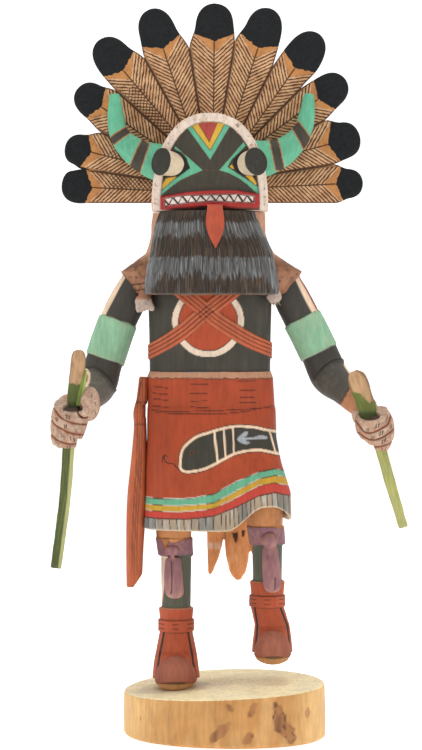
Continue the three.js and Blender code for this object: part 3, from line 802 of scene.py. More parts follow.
# Painted and cut lines of the kilt, as (x, height) seen from the front.
SNAKE = spline([
    (-22.4, 136), (-21.9, 140.9), (-20.8, 143.6), (-18, 146.9), (-13.7, 149.9), (-7.6, 152.1),
    (-1.6, 153.8), (3.9, 154.9), (7.7, 155.1), (14.3, 154.6), (19.2, 153.5), (25.3, 152.1), (29, 151),
    (33, 149.4), (33, 139.6), (27.7, 139.5), (22.5, 140.9), (17, 142), (11.6, 141.7), (6.1, 140.6),
    (0.6, 138.1), (-4.9, 135.1), (-10.4, 132.7), (-15.9, 131.6), (-20.2, 131.8), (-22.2, 133.6),
], 120, closed=True)
BARS = [((-4.9, 151.8), (-3.2, 136.6), 0.55), ((-0.2, 153), (0.7, 139), 0.5),
        ((4.2, 154), (4.8, 141.2), 0.42), ((22.5, 152), (25.6, 140.6), 0.45)]
ARROW = spline([(6.3, 148), (8.6, 150.6), (10.5, 151.9), (11.8, 151.6), (10.9, 149.6), (9.6, 149),
                (14, 148.9), (17, 149.6), (20.6, 149.4), (21.4, 148.4), (20, 147.8), (16, 148),
                (9.8, 147.4), (12.2, 146.9), (12.4, 145.8), (10.4, 145.6), (8.4, 146.2)], 90, closed=True)
TONGUE_LINE = spline([(-22.4, 133.2), (-24.6, 135.4), (-25.7, 136.2), (-28.5, 136.4), (-29.8, 138.1),
                      (-29.8, 139.9)], 24)
HOOK = spline([(-30.9, 136.6), (-30.6, 139), (-29.8, 140), (-28.4, 139.6)], 12)
DASHES = [((-35.3, 174), (-27.9, 173.2)), ((-35.3, 170.6), (-28, 170)), ((-35, 167.7), (-28, 167.2)),
          ((-35.3, 164.2), (-27.6, 163.7)), ((-16.7, 175), (-8.2, 175.1)), ((-16.7, 170.6), (-8.4, 170.6)),
          ((-16.6, 166.8), (-8.6, 167)), ((-16.9, 164.1), (-7, 163.4)), ((6.1, 176.5), (15.4, 176.5)),
          ((7.6, 172.2), (15.4, 172.3)), ((8, 168.7), (15, 168.8)), ((7.6, 166), (15.4, 166.2))]
BELT = [spline([(-36, 162.2), (-27, 161.6), (-16, 161.9), (-5, 162.1), (6, 162.7), (17, 163.2),
                (26, 164.3)], 30),
        spline([(-34, 161), (-16, 160.6), (-5, 160.6), (6, 161.2), (15, 162.6)], 24)]
FRINGE_CUTS = np.concatenate([np.arange(-38, -2, 3.6), np.arange(-1.5, 17, 2.1), np.arange(18.6, 37, 2.8)])
HEM = {"low": 103.4, "lift": 11.5, "at": 22.0, "span": 21.0}


def hem_height(x, y):
    rise = 1 - smooth(2, HEM["span"], np.abs(x - HEM["at"]))
    return HEM["low"] + HEM["lift"] * rise * mix(0.45, 1, 1 - smooth(-8, 10, y))


def kilt_edges(x, y):
    """Heights of the painted bands' edges: they dip less behind."""
    front = 1 - smooth(-8, 10, y)
    plain = mix(0, 9.0, smooth(-12, 34, x))
    edges = []
    for heights in BAND_EDGES:
        there = np.interp(x, KILT_AT, heights)
        edges.append(mix(heights[0] + plain, there, front))
    return edges


def make_kilt():
    rows = [(181.2, AXIS, 1, 30.3, 18.2), (178.2, AXIS, 1, 31.5, 19.4), (164, -6.3, 1, 31.7, 19.7),
            (162.6, -6.2, 1, 32.1, 20.2), (148, -6.1, 0.5, 32.4, 21), (135, -5.2, 0, 34, 22.4),
            (118, -3.2, 0, 36.5, 24.2), (104, -3.4, 0, 37.2, 25)]
    angles = front_angles(300, 0.45)
    table = row_table(rows, 0.5, 0.8)[::-1]
    rings = ring_skin(table, angles)
    low = rings[-1]
    hem = hem_height(low[:, 0], low[:, 1]) + 0.5
    # Below the bands the rings are slid up to end on the hem.
    for ring in rings:
        t = np.clip((140 - ring[:, 2]) / (140 - rings[-1][0, 2]), 0, 1)
        ring[:, 2] = np.where(t > 0, 140 - (140 - hem) * t, ring[:, 2])
    inner = [((36.3, 24.5), -0.5), ((34.8, 23), -0.4), ((33.4, 21.6), 1.5), ((32.4, 20.8), 14)]
    extra = []
    for (wide, deep), raise_ in inner:
        px = -3 + wide * signed_power(np.cos(angles), 2 / SQUARE)
        py = deep * signed_power(np.sin(angles), 2 / SQUARE)
        extra.append(np.stack([px, py, hem_height(px, py) + raise_], -1))
    rings = np.concatenate([rings, np.array(extra)])
    obj, p, n = carve("kilt", *loft(rings))
    q = flat(p)
    front = 1 - smooth(-2, 4, p[:, 1])
    from_middle = np.abs((p[:, 0] + 3) / 36) ** SQUARE + np.abs(p[:, 1] / 24) ** SQUARE
    outside = from_middle > (0.74 - 0.1 * smooth(120, 170, p[:, 2]))
    edges = kilt_edges(p[:, 0], p[:, 1])
    cuts = np.zeros(len(p))
    for a, b in DASHES:
        d = line_distance(q, [a, b])
        cuts = np.maximum(cuts, ridge_line(d, 0.4) * front)
    for line in BELT:
        cuts = np.maximum(cuts, ridge_line(line_distance(q, line), 0.4) * front)
    belt_back = ridge_line(p[:, 2] - 162.4, 0.4) * (1 - front)
    cuts = np.maximum(cuts, belt_back)
    angle = np.arctan2(p[:, 1], p[:, 0] + 3)
    step = np.abs(((angle * 12.3) % 1) - 0.5)
    back_fringe = np.clip(1 - (0.5 - step) / 0.09, 0, 1)
    near = np.min(np.abs(p[:, 0][:, None] - FRINGE_CUTS - 0.05 * (112 - p[:, 2])[:, None]), axis=1)
    front_fringe = np.clip(1 - near / 0.42, 0, 1)
    fringe_line = mix(back_fringe, front_fringe, front)
    in_fringe = smooth(0.2, -0.2, p[:, 2] - edges[3])
    on_skin = outside & (p[:, 2] > 100)
    lift = -0.32 * cuts - 0.38 * fringe_line * in_fringe * on_skin
    lift -= 0.15 * soft_step(np.abs(p[:, 2] - edges[3]) - 0.2)
    hollow = 1.1 * np.exp(-(((p[:, 0] + 30) / 3.4) ** 2)) * smooth(164, 150, p[:, 2])
    hollow = hollow * smooth(112, 130, p[:, 2]) * front
    lift += -0.5 * hollow + 0.16 * noise(p * [1, 1, 0.35], 7, 31)
    move_points(obj, p + n * lift[:, None])

    paint = Paint(p, rgb(158, 66, 37))
    paint.patches(0.45, (0.0, 0.9), 5, 32, rgb(168, 78, 46), [1, 1, 0.22])
    paint.patches(0.3, (-0.3, 0.6), 9, 33, rgb(150, 66, 42), [1, 1, 0.3], within=smooth(150, 128, p[:, 2]))
    paint.where(smooth(164.5, 166, p[:, 2]) * 0.25, rgb(160, 68, 44))
    # The beige rim, with a ragged edge and a smear of grey-blue.
    ragged = 0.35 * noise(p, 1.6, 34)
    paint.where(smooth(177.4, 178.0, p[:, 2] + ragged), rgb(58, 36, 28))
    paint.where(smooth(177.9, 178.4, p[:, 2] + ragged), rgb(188, 140, 112))
    smear = np.exp(-(((p[:, 0] + 14) / 9) ** 2)) * smooth(180.6, 181.3, p[:, 2] + ragged) * front
    paint.where(smear * 0.7, rgb(120, 132, 146))
    paint.where(smooth(0.28, 0.28 + 0.35, cuts) * 0.9, rgb(62, 34, 26))
    # The snake, its bars, its eye, the arrow and the tongue.
    shown = front * (p[:, 1] < 3)
    d = shape_distance(q, SNAKE) + 0.1 * noise(p, 2.2, 35)
    paint.where(shown * soft_step(d - 0.42), rgb(54, 34, 26))
    paint.where(shown * soft_step(d), rgb(226, 196, 168))
    paint.where(shown * soft_step(d + 1.3), rgb(58, 56, 48))
    inside = soft_step(d + 1.2)
    for a, b, half in BARS:
        paint.where(shown * inside * soft_step(line_distance(q, [a, b]) - half), rgb(226, 196, 168))
    paint.where(shown * soft_step(shape_distance(q, ARROW) + 0.12 * noise(p, 1.4, 36)), rgb(152, 156, 162))
    u, v = q[:, 0] + 15.9, q[:, 1] - 141.4
    eye = np.hypot(u * 0.94 + v * 0.34, (v * 0.94 - u * 0.34) * 1.9)
    paint.where(shown * soft_step(eye - 1.5), rgb(96, 56, 40))
    paint.where(shown * soft_step(eye - 0.9), rgb(50, 46, 40))
    for line in (TONGUE_LINE, HOOK):
        paint.where(shown * soft_step(line_distance(q, line) - 0.26), rgb(60, 30, 22))
    # Bands above the hem.
    z = p[:, 2] + 0.12 * noise(p, 3, 37)
    broken = smooth(-0.05, 0.25, noise(p * [1, 1, 0.1], 5.5, 38))
    for top, low, colour in ((0, 1, TURQUOISE), (1, 2, rgb(188, 146, 48)), (2, 3, rgb(178, 62, 50))):
        paint.where(soft_step(z - edges[top]) * soft_step(edges[low] - z), colour)
    for k, dark in enumerate((rgb(44, 34, 28), rgb(70, 50, 34), rgb(90, 60, 44), rgb(44, 34, 30))):
        width = 0.26 if k in (0, 3) else 0.22
        paint.where(soft_step(np.abs(z - edges[k]) - width, 0.25), dark)
        paint.where(soft_step(np.abs(z - edges[k] - 0.1) - 0.25, 0.25) * broken * (k != 3) * 0.75,
                    rgb(206, 200, 188))
    fringe = soft_step(z - edges[3] + 0.35)
    paint.where(fringe, mix(rgb(114, 116, 114), rgb(138, 124, 106), 0.4))
    strand = np.floor(np.interp(p[:, 0], FRINGE_CUTS, np.arange(len(FRINGE_CUTS))))
    paint.where(fringe * smooth(0.2, 0.8, np.abs(np.sin(strand * 12.9898)) * front) * 0.6,
                rgb(182, 158, 130))
    paint.patches(0.35, (0.0, 0.7), 1.6, 39, rgb(196, 200, 200), [1, 1, 0.2], within=fringe)
    paint.where(fringe * smooth(0.3, 0.75, fringe_line), rgb(40, 36, 34))
    paint.where(smooth(-32, -38, p[:, 0]) * fringe * 0.5 * front, rgb(104, 110, 112))
    paint.where((p[:, 2] < hem_height(p[:, 0], p[:, 1]) + 0.25) * 0.8, rgb(208, 190, 164))
    under = ~outside
    paint.where(under * (p[:, 2] < 130), rgb(196, 160, 120))
    dress(obj, PAINTED, ["figure"], paint.colour)


# ---------- legs and boots ----------
# Heights of the boot's top, the rim above its strap, the strap and the garter, and where each part stands.
LEGS = {
    "right": dict(x=-24, toe=-24, sole=23.2, boot=62.5, rim=5.6, strap=6.4,
                  garter=(88.8, 97.8), top=112, thigh=-25.2, flare=1.0,
                  knot=(-25.8, 92.1), tie=[(-25.4, 88.5), (-25.2, 78), (-24.6, 68.4)],
                  tie_half=[3.9, 4.7, 4.6], groove=(-26.1, 87, 70.6)),
    "left": dict(x=21.8, toe=24.2, sole=36.0, boot=75.9, rim=6.8, strap=6.2,
                 garter=(94.4, 103.6), top=122, thigh=20.6, flare=0.86,
                 knot=(22.7, 97.2), tie=[(23, 94), (23.6, 82), (24.1, 71.4)],
                 tie_half=[4.1, 4.7, 4.4], groove=(25.3, 79, 72.2)),
}


SOLE = 3.5  # thickness of a boot's sole


def leg_rows(leg):
    x, toe, sole, boot, thigh, f = (leg[key] for key in ("x", "toe", "sole", "boot", "thigh", "flare"))
    low, high = leg["garter"]
    strap_top = boot - leg["rim"]
    strap_low = strap_top - leg["strap"]
    return [
        (sole, toe, 1, 9.4 * f, 14.4), (sole + 0.8, toe, 1, 10.2 * f, 15),
        (sole + 3.2, toe, 1, 10.5 * f, 15.1), (sole + SOLE, toe, 1, 10.3 * f, 14.2),
        (sole + 4.2, toe, 1, 12 * f, 14.2), (sole + 8, toe, 1, 11.6 * f, 14.2),
        (sole + 12, toe, 1, 11.1 * f, 13.6), (sole + 16, toe, 2, 10.5 * f, 11.8),
        (sole + 18, toe, 4, 10.1 * f, 10.4), (strap_low - 0.3, x, 5, 8.3, 8.5), (strap_low, x, 5, 9.1, 9.3),
        (strap_top - 0.3, x, 5, 9.1, 9.3), (strap_top, x, 5, 8.2, 8.4), (boot - 0.4, x, 5, 8.7, 8.9),
        (boot, x, 5, 8.5, 8.7), (boot + 0.1, x, 5, 7.2, 7.4), (low - 0.5, x, 4, 7.6, 8),
        (low, x, 4, 8.9, 9.3), (high, thigh, 2, 9.4, 9.9), (high + 0.3, thigh, 2, 8.7, 9.3),
        (leg["top"], thigh, 0, 9.6, 10.4)]


def make_leg(side):
    leg = LEGS[side]
    f = leg["flare"]
    table = row_table(leg_rows(leg), 0.36, 0.35)
    rings = ring_skin(table, front_angles(120, 0.4), 2.02)
    obj, p, n = carve(f"leg_{side}", *loft(rings))
    x, z = p[:, 0], p[:, 2]
    front = p[:, 1] < 5
    boot, sole, toe = leg["boot"], leg["sole"], leg["toe"]
    strap_top = boot - leg["rim"]
    strap_low = strap_top - leg["strap"]
    shaft_x = np.interp(z, [sole, sole + 18, strap_low], [toe, toe, leg["x"]])
    u = x - shaft_x
    # Two slits run down the shaft and lean outwards towards the sole.
    reach = np.interp(z, [sole, strap_low], [11.2 * f, 6.2 if side == "right" else 6.6])
    slit = np.maximum(ridge_line(u - reach, 0.75), ridge_line(u + reach, 0.75))
    slit = slit * (z > sole + 3.6) * (z < strap_low) * front
    # The toe cap is a low dome below an arched edge.
    cap_half = 10.2 * f
    arch = sole + 3.4 + 13.0 * np.clip(1 - np.abs(u / cap_half) ** SQUARE, 0, 1) ** 0.5
    cap = (z < arch) & (z > sole + 3.4) & (np.abs(u) < cap_half) & (p[:, 1] < 0)
    edge = np.abs(z - arch)
    bulge = np.clip((arch - z) / 7, 0, 1) ** 0.5 * np.clip(1 - (u / cap_half) ** 2, 0, 1) ** 0.5
    dome = np.where(cap, 1.8 * bulge + 0.7 * smooth(0, 0.6, arch - z), 0)
    sole_cut = ridge_line(z - (sole + SOLE), 0.55)
    band_cut = np.maximum(ridge_line(z - strap_top + 0.1, 0.5), ridge_line(z - strap_low + 0.2, 0.5))
    dashes = np.zeros(len(p))
    for at in (-7.4, -0.2, 7.4):
        for share in (0.34, 0.68):
            height = mix(strap_top, strap_low, share)
            away = np.maximum(np.abs(u - at) - 1.5, 0) + np.abs(z - height)
            dashes = np.maximum(dashes, ridge_line(away, 0.42))
    dashes *= front
    tilt = 0.05 * (x - toe) if side == "right" else 0 * x
    low_soft = smooth(6, 0, z - sole)
    lift = -0.75 * slit + dome - 0.4 * sole_cut - 0.3 * band_cut - 0.22 * dashes
    low, high = leg["garter"]
    on_garter = (z > low - 0.2) & (z < high + 0.2)
    lift += np.where(on_garter, 0.35 * noise(p * [1, 1, 0.4], 4, 41), 0.1 * noise(p, 5, 42))
    moved = p + n * lift[:, None]
    # The sole curls up a little towards both sides.
    moved[:, 2] += (tilt + 1.5 * np.minimum(np.abs(u) / cap_half, 1.1) ** 2) * low_soft
    move_points(obj, moved)

    rust = rgb(168, 78, 50)
    paint = Paint(p, rust)
    paint.patches(0.35, (0, 0.9), 4, 43, rgb(182, 92, 62), [1, 1, 0.3])
    paint.where(cap * soft_step(-edge + 0.2), rgb(146, 83, 66))
    # A painted highlight on the middle of the toe cap's dome, and painted shade in the crease along its
    # arched edge.
    paint.where(cap * bulge * smooth(0.2, 0.8, 1 - np.abs(u) / cap_half) * 0.4, rgb(176, 112, 90))
    paint.where(smooth(0.4, 0.0, edge) * (p[:, 1] < -2) * (np.abs(u) < cap_half) * (z > sole + 4) * 0.7,
                rgb(120, 66, 50))
    paint.where(z < sole + SOLE, rgb(186, 134, 88))
    paint.where(smooth(0.25, 0.7, sole_cut), rgb(92, 74, 58))
    paint.where(smooth(0.3, 0.8, band_cut), rgb(98, 66, 50))
    paint.where(smooth(0.3, 0.7, dashes), rgb(66, 38, 30))
    # The slits are painted dark, partly as their own dark edges and partly as painted shade in the cut,
    # with a painted highlight just outside each slit.
    paint.where(smooth(0.15, 0.5, slit), rgb(54, 46, 40))
    light = smooth(0.3, 0.1, np.abs(np.abs(u) - reach - 0.9)) * (z > sole + 4) * (z < strap_low) * front
    paint.where(light * 0.3, rgb(200, 128, 96))
    rim = smooth(boot - 0.7, boot - 0.2, z) * (z < boot + 0.4)
    paint.where(rim, rgb(190, 128, 100))
    # Calf, garter and thigh.
    paint.where(z > boot + 0.2, mix(rgb(78, 82, 70), rgb(90, 90, 76), 0.5))
    if side == "right":
        outer = -u
        edge_x = np.interp(z, [boot, low], [7.3, 3.9])
        paint.where((z > boot + 0.2) * (z < low) * smooth(edge_x - 0.2, edge_x + 0.2, outer) * front, CREAM)
        paint.where((z > boot + 0.2) * (z < low) * smooth(0.25, 0.05, np.abs(outer - edge_x)) * front,
                    rgb(196, 120, 60))
    ragged = 0.5 * noise(p, 3, 44)
    tan = rgb(186, 126, 80)
    line_low = low + (1.0 if side == "right" else 0.6) * smooth(-6, 8, u) + ragged * 0.4
    dip = 1.6 * np.exp(-(((u + 1) / 4) ** 2)) if side == "right" else 0.8 * smooth(0, 8, u)
    line_high = high - dip + ragged * 0.9
    paint.where(smooth(line_low - 0.3, line_low, z), rgb(128, 90, 102))
    paint.patches(0.55, (-0.3, 0.6), 1.3, 45, rgb(160, 114, 98), within=smooth(line_low, line_low + 1, z))
    paint.where(smooth(line_high - 0.25, line_high + 0.05, z), tan)
    paint.patches(0.7, (-0.1, 0.8), 4.5, 46, rgb(142, 88, 54), [0.7, 1, 1.4],
                  within=smooth(line_high, line_high + 1, z))
    paint.where(smooth(0.5, 0.1, np.abs(z - line_high)) * 0.6, rgb(96, 58, 44))
    if side == "right":
        fold = shape_distance(flat(p), [(-31.6, 98.5), (-27.4, 98.5), (-27.8, 96), (-29.4, 90.6),
                                        (-30.4, 95)])
        paint.where(soft_step(fold) * (p[:, 1] < 0), rgb(160, 104, 66))
        paint.where(smooth(0.4, 0.1, np.abs(fold - 0.1)) * (p[:, 1] < 0) * (z < 97.5), rgb(110, 68, 50))
    dress(obj, PAINTED, ["figure"], paint.colour)

    # The garter's knot and hanging tie.
    kx, kz = leg["knot"]
    knot = lump((kx, -6.6, kz), (3.8, 2.4, 2.8) if side == "right" else (4.5, 3.4, 4.2))
    (top_x, top_z), (mid_x, mid_z), (end_x, end_z) = leg["tie"]
    tie_end = (end_x, -6.4, end_z + 3.0)
    path = [(top_x, -5.2, top_z), (mid_x, -7.2, mid_z), tie_end]
    half = leg["tie_half"]
    tie = bar(path, [(half[0], 2.4), (half[1], 2.6), (half[2], 2.4)], 24, 30)
    end = lump(tie_end, (half[2], 2.4, 3.6))
    obj = fuse(f"garter_tie_{side}", [knot, tie, end], 0.36)
    p, n = points_of(obj), normals_of(obj)
    gx, top, bottom = leg["groove"]
    wander = gx + 0.25 * noise(p * [0, 0, 1], 5, 47)
    cut = ridge_line(p[:, 0] - wander, 0.5) * (p[:, 2] < top) * (p[:, 2] > bottom) * (p[:, 1] < -6)
    neck = np.exp(-(((p[:, 2] - top_z) / 1.1) ** 2))
    creases = smooth(0.55, 0.95, noise(p * [1, 1, 0.25], 1.7, 48)) * smooth(top - 4, top, p[:, 2])
    move_points(obj, p - n * (0.6 * cut + 0.45 * neck + 0.2 * creases)[:, None])
    paint = Paint(p, rgb(140, 98, 104))
    paint.patches(0.55, (-0.3, 0.6), 1.5, 49, rgb(170, 126, 110), [1, 1, 0.3])
    paint.patches(0.4, (0.1, 0.9), 3, 50, rgb(128, 84, 112), [1, 1, 0.5])
    paint.where(smooth(bottom + 3, bottom - 2, p[:, 2]) * 0.4, rgb(196, 152, 140))
    paint.where(smooth(0.3, 0.8, cut), rgb(70, 44, 52))
    # Painted shade in the creases near the knot.
    paint.where(creases * 0.5, rgb(96, 64, 84))
    dress(obj, PAINTED, ["figure"], paint.colour)


make_trunk()
make_kilt()
for side in ("right", "left"):
    make_leg(side)


# ---------- mask ----------
MASK = {"half": 28.8, "low": 261.0, "centre": 262.0, "rise": 46.4, "front": -22.0, "back": 12.0, "rim": 4.6,
        "sunk": 1.2}

# Each shape is drawn from the middle of the mask's foot: across, up.
MASK_SHAPES = [
    ("turquoise", [(-11.2, 39), (0.1, 23.2), (10.6, 41), (14, 46), (-14, 46)]),
    ("yellow", [(-9.4, 40.6), (0.1, 28.1), (7.8, 42), (10, 48), (-12, 46)]),
    ("red", [(-6.2, 42), (-0.35, 32.2), (4.3, 43.4), (6, 50), (-8, 48)]),
    ("turquoise", [(-17.3, 30.3), (-10.6, 24.6), (-3.3, 18.2), (-9.5, 15.8), (-16, 12.4), (-24.6, 5),
                   (-24.6, 9.6), (-16.9, 14.8), (-9.9, 19.4), (-11.5, 24.2), (-14.2, 27.2), (-17.6, 28.8)]),
    ("turquoise", [(16.6, 32.4), (4.4, 18.2), (12, 15.2), (18, 11.6), (24.6, 5), (24.6, 9.6), (21, 12.1),
                   (12.1, 17.7), (8.8, 19.9), (10.9, 23.6), (15, 27.6), (17.6, 30.4)]),
    ("soot", [(-15.6, 27.6), (-13, 25.2), (-11.3, 23.5), (-10.9, 21.2), (-9.5, 19.2), (-12.8, 17),
              (-15.2, 14.9), (-22, 12), (-24, 20), (-20, 27)]),
    ("soot", [(16, 28), (12.8, 25.4), (11.2, 23.8), (11, 20.8), (13.2, 17.2), (16.4, 15.4), (22, 13.6),
              (25, 20), (20, 28)]),
    ("yellow", [(-16.2, 15.3), (-19, 14.9), (-21.8, 14.4), (-23.6, 11.4), (-23.6, 8.4), (-22, 10.2),
                (-18.4, 13.4)]),
    ("yellow", [(17.2, 15.8), (21, 15.6), (23, 12), (22.6, 10.8), (20.4, 12.8)]),
    ("yellow", [(9.3, 20.2), (10.9, 21.6), (11.9, 19), (10.7, 18.9)]),
]
MASK_PAINTS = {"turquoise": rgb(94, 168, 136), "yellow": rgb(200, 158, 58), "red": rgb(160, 66, 60),
               "soot": rgb(30, 31, 31)}


def mouth_edges(a):
    """Heights of the mouth: its frame's top, its white panel's top and foot, and its frame's foot."""
    at = [-24.6, -11.5, 0.6, 12.9, 24.6]
    return [np.interp(a, at, heights) for heights in (
        [5.4, 7.5, 8.3, 8.4, 6.6], [4.2, 5.9, 6.1, 6.6, 5.3], [0.5, 2.1, 3.0, 2.5, 2.3],
        [-1.8, 0.2, 0.7, 0.2, 0.3])]


def make_mask():
    half, low, centre, rise = MASK["half"], MASK["low"], MASK["centre"], MASK["rise"]
    angles = np.linspace(0, np.pi, 330)
    reach = 2 / SQUARE

    def arch(inset):
        px = (half - inset) * signed_power(np.cos(angles), reach)
        pz = centre + (rise - inset) * np.maximum(np.sin(angles), 0) ** reach
        pz[0] = pz[-1] = low
        return px, pz

    rim = MASK["rim"]
    rings = []
    insets = np.concatenate([np.linspace(0, rim + 1.2, 26), np.linspace(rim + 1.5, half - 0.02, 84)])

    def bend(px):
        return 0.006 * px * px

    for inset in (3.0, 0.9, 0.0):
        px, pz = arch(inset)
        back = MASK["back"] - (0 if inset == 3.0 else 0.9 if inset else 2.6)
        rings.append(np.stack([AXIS + px, np.full(len(px), back), pz], -1))
    for y in np.linspace(8, -18, 20):
        px, pz = arch(0)
        rings.append(np.stack([AXIS + px, y + bend(px) * smooth(4, -12, y), pz], -1))
    for inset in insets:
        px, pz = arch(inset)
        y = MASK["front"] + 1.6 * (1 - np.sqrt(np.clip(1 - (1 - inset / 1.6) ** 2, 0, 1))) * (inset < 1.6)
        rolled = 0.7 * smooth(rim - 1.2, rim, inset) ** 2
        y = np.where(inset <= rim, y + rolled, MASK["front"] + MASK["sunk"])
        y = mix(y, MASK["front"] + MASK["sunk"], smooth(rim - 0.3, rim + 0.25, inset))
        rings.append(np.stack([AXIS + px, y + bend(px), pz], -1))
    rings = np.array(rings)
    rows, columns = rings.shape[:2]
    points = rings.reshape(-1, 3)
    faces = grid_faces(rows, columns)
    # The back is closed from arch to arch, and the foot between front and back.
    half_count = columns // 2
    for j in range(half_count):
        a, b = j, columns - 1 - j
        if b - 1 > a + 1:
            faces.append((a, a + 1, b - 1, b))
        elif b > a + 1:
            faces.append((a, a + 1, b))
    foot = [i * columns for i in range(rows)] + [i * columns + columns - 1 for i in range(rows - 1, -1, -1)]
    faces.append(tuple(foot))
    obj = make_object("mask_carved", points, faces)
    weld = obj.modifiers.new("weld", "WELD")
    weld.merge_threshold = 0.06 * MM
    apply_modifiers(obj)
    tidy_normals(obj)
    p, n = points_of(obj), normals_of(obj)
    a, b = p[:, 0] - AXIS, p[:, 2] - centre
    q = np.stack([a, b], -1)
    front = p[:, 1] < MASK["front"] + 6.5
    frame_top, panel_top, panel_foot, frame_foot = mouth_edges(a)
    frame_half = 24.3
    in_frame = np.maximum(np.maximum(b - frame_top, frame_foot - b), np.abs(a) - frame_half)
    in_panel = np.maximum(np.maximum(b - panel_top, panel_foot - b), np.abs(a + 0.3) - 22.3)
    raised = 2.1 * soft_step(in_frame, 0.8) - 0.4 * soft_step(in_panel, 0.5)
    noisy = 0.1 * noise(p, 4, 61) + 0.05 * noise(p, 1.5, 62)
    moved = p.copy()
    moved[:, 1] -= np.where(front, raised, 0)
    moved += n * noisy[:, None]
    move_points(obj, moved)

    cream = rgb(214, 196, 182)
    paint = Paint(p, cream)
    paint.patches(0.4, (0.0, 0.8), 2.2, 63, rgb(190, 160, 140))
    paint.patches(0.4, (0.2, 0.7), 0.8, 64, rgb(176, 148, 128))
    paint.patches(0.35, (0.3, 0.8), 0.9, 60, rgb(232, 222, 212))
    paint.patches(0.7, (0.62, 0.74), 1.1, 59, rgb(110, 84, 66))
    jitter = 0.14 * noise(p, 1.8, 65)
    across, up = a / (half - rim - 0.1), np.maximum(b, 0) / (rise - rim - 0.1)
    inside_face = np.abs(across) ** SQUARE + np.abs(up) ** SQUARE
    edge = (inside_face - 1) * 10 + jitter
    shown = front * 1.0
    ground = rgb(62, 58, 50)
    paint.where(shown * soft_step(edge - 0.25, 0.4) * 0.8, rgb(120, 92, 74))
    paint.where(shown * soft_step(edge, 0.3), ground)
    inside = shown * soft_step(edge, 0.3)
    paint.patches(0.4, (0.1, 0.8), 3, 66, rgb(80, 66, 52), [1, 1, 1.6], within=inside)
    for name, outline in MASK_SHAPES:
        d = shape_distance(q, outline) + jitter
        dark = rgb(70, 44, 32)
        if name != "soot":
            paint.where(inside * soft_step(np.abs(d) - 0.28) * 0.85, dark)
        paint.where(inside * soft_step(d + 0.1), MASK_PAINTS[name])
    # Two black bars run down from the brow and cross into the black muzzle.
    for bar_shape in ([(-11.4, 38.6), (-16.8, 30.4), (-3.0, 17.9), (0.2, 22.6)],
                      [(10.9, 40), (16.2, 32.2), (4.0, 17.9), (0, 22.6)]):
        d = shape_distance(q, bar_shape) + jitter
        paint.where(inside * soft_step(np.abs(d) - 0.2) * 0.7, rgb(86, 54, 38))
        paint.where(inside * soft_step(d), ground)
    muzzle = [(-25, 4), (-23, 7), (-19.7, 9.7), (-14.4, 13.4), (-7.5, 16.2), (-3.3, 18), (4, 18.1),
              (8.8, 17), (14.9, 13.8), (19.4, 10.1), (22.3, 7.7), (25, 4)]
    d = shape_distance(q, muzzle) + jitter
    paint.where(inside * soft_step(np.abs(d) - 0.22) * 0.7, rgb(96, 64, 42))
    paint.where(inside * soft_step(d), ground)
    paint.patches(0.35, (0.1, 0.9), 3.5, 67, rgb(82, 68, 54), [1, 1, 2], within=inside * soft_step(d))
    # The red frame; the white mouth inside it is laid on as a finer sheet.
    paint.where(shown * soft_step(np.abs(in_frame) - 0.25) * 0.8, rgb(70, 30, 28))
    paint.where(shown * soft_step(in_frame), rgb(158, 44, 42))
    paint.patches(0.35, (0.2, 0.8), 1.6, 68, rgb(160, 44, 44), within=shown * soft_step(in_frame))
    paint.where(shown * soft_step(in_panel - 0.3), rgb(84, 40, 38))
    paint.where(shown * soft_step(in_panel), rgb(214, 202, 196))
    dress(obj, PAINTED, ["mask"], paint.colour)
    make_mouth(bend)


def make_mouth(bend):
    """The white mouth with its black zigzag of teeth, a fine sheet just proud of its frame."""
    across, up = np.meshgrid(np.linspace(-22.9, 22.3, 240), np.linspace(0, 1, 36))
    _, panel_top, panel_foot, _ = mouth_edges(across)
    z = mix(panel_foot - 0.25, panel_top + 0.25, up)
    flat_points = np.stack([AXIS + across.ravel(), MASK["centre"] + z.ravel()], -1)
    y = MASK["front"] + MASK["sunk"] + bend(across.ravel()) - 2.1 + 0.2
    points, faces = slab(flat_points, grid_faces(*across.shape), y, y + 1.2)
    obj = make_object("mask_mouth", points, faces)
    p = points_of(obj)
    a, b = p[:, 0] - AXIS, p[:, 2] - MASK["centre"]
    _, panel_top, panel_foot, _ = mouth_edges(a)
    height = (b - panel_foot) / (panel_top - panel_foot)
    rough_edge = 0.12 * noise(p, 1.4, 69)
    paint = Paint(p, rgb(214, 200, 192))
    paint.patches(0.35, (0.1, 0.8), 1.6, 70, rgb(190, 168, 156))
    period, fall, rise = 4.55, 0.56, 0.44  # a tooth's width, and the shares of it that fall and rise
    phase = ((a + 22.6 + 0.25 * noise(p * [1, 0, 0], 6, 75)) / period) % 1.0
    falling = phase < fall
    tooth = np.where(falling, phase / fall, (1 - phase) / rise)
    slope = (panel_top - panel_foot) / (period * 0.5)
    stroke = np.abs(height - 0.97 + 0.94 * tooth) * (panel_top - panel_foot) / np.hypot(1, slope)
    stroke += rough_edge
    thick = np.where(falling, 0.36, 0.22)
    paint.where(soft_step(stroke - thick - 0.3, 0.2) * 0.35, rgb(150, 120, 112))
    paint.where(soft_step(stroke - thick, 0.14), rgb(34, 30, 30))
    line = np.minimum(np.minimum(panel_top - b, b - panel_foot), 22.0 - np.abs(a + 0.3)) + rough_edge
    paint.where(soft_step(line - 0.35, 0.2), rgb(96, 40, 38))
    paint.where(soft_step(line, 0.2), rgb(164, 50, 48))
    dress(obj, PAINTED, ["mask"], paint.colour)


EYE_LIFT = 0.12  # how far the eyes look up


def eye_basis(side):
    turn = math.radians(47 if side == "right" else 38)
    out = np.array([(-1 if side == "right" else 1) * math.sin(turn), -math.cos(turn), EYE_LIFT])
    out /= np.linalg.norm(out)
    across = np.cross(out, [0, 0, 1])
    across /= np.linalg.norm(across)
    return out, across, np.cross(across, out)


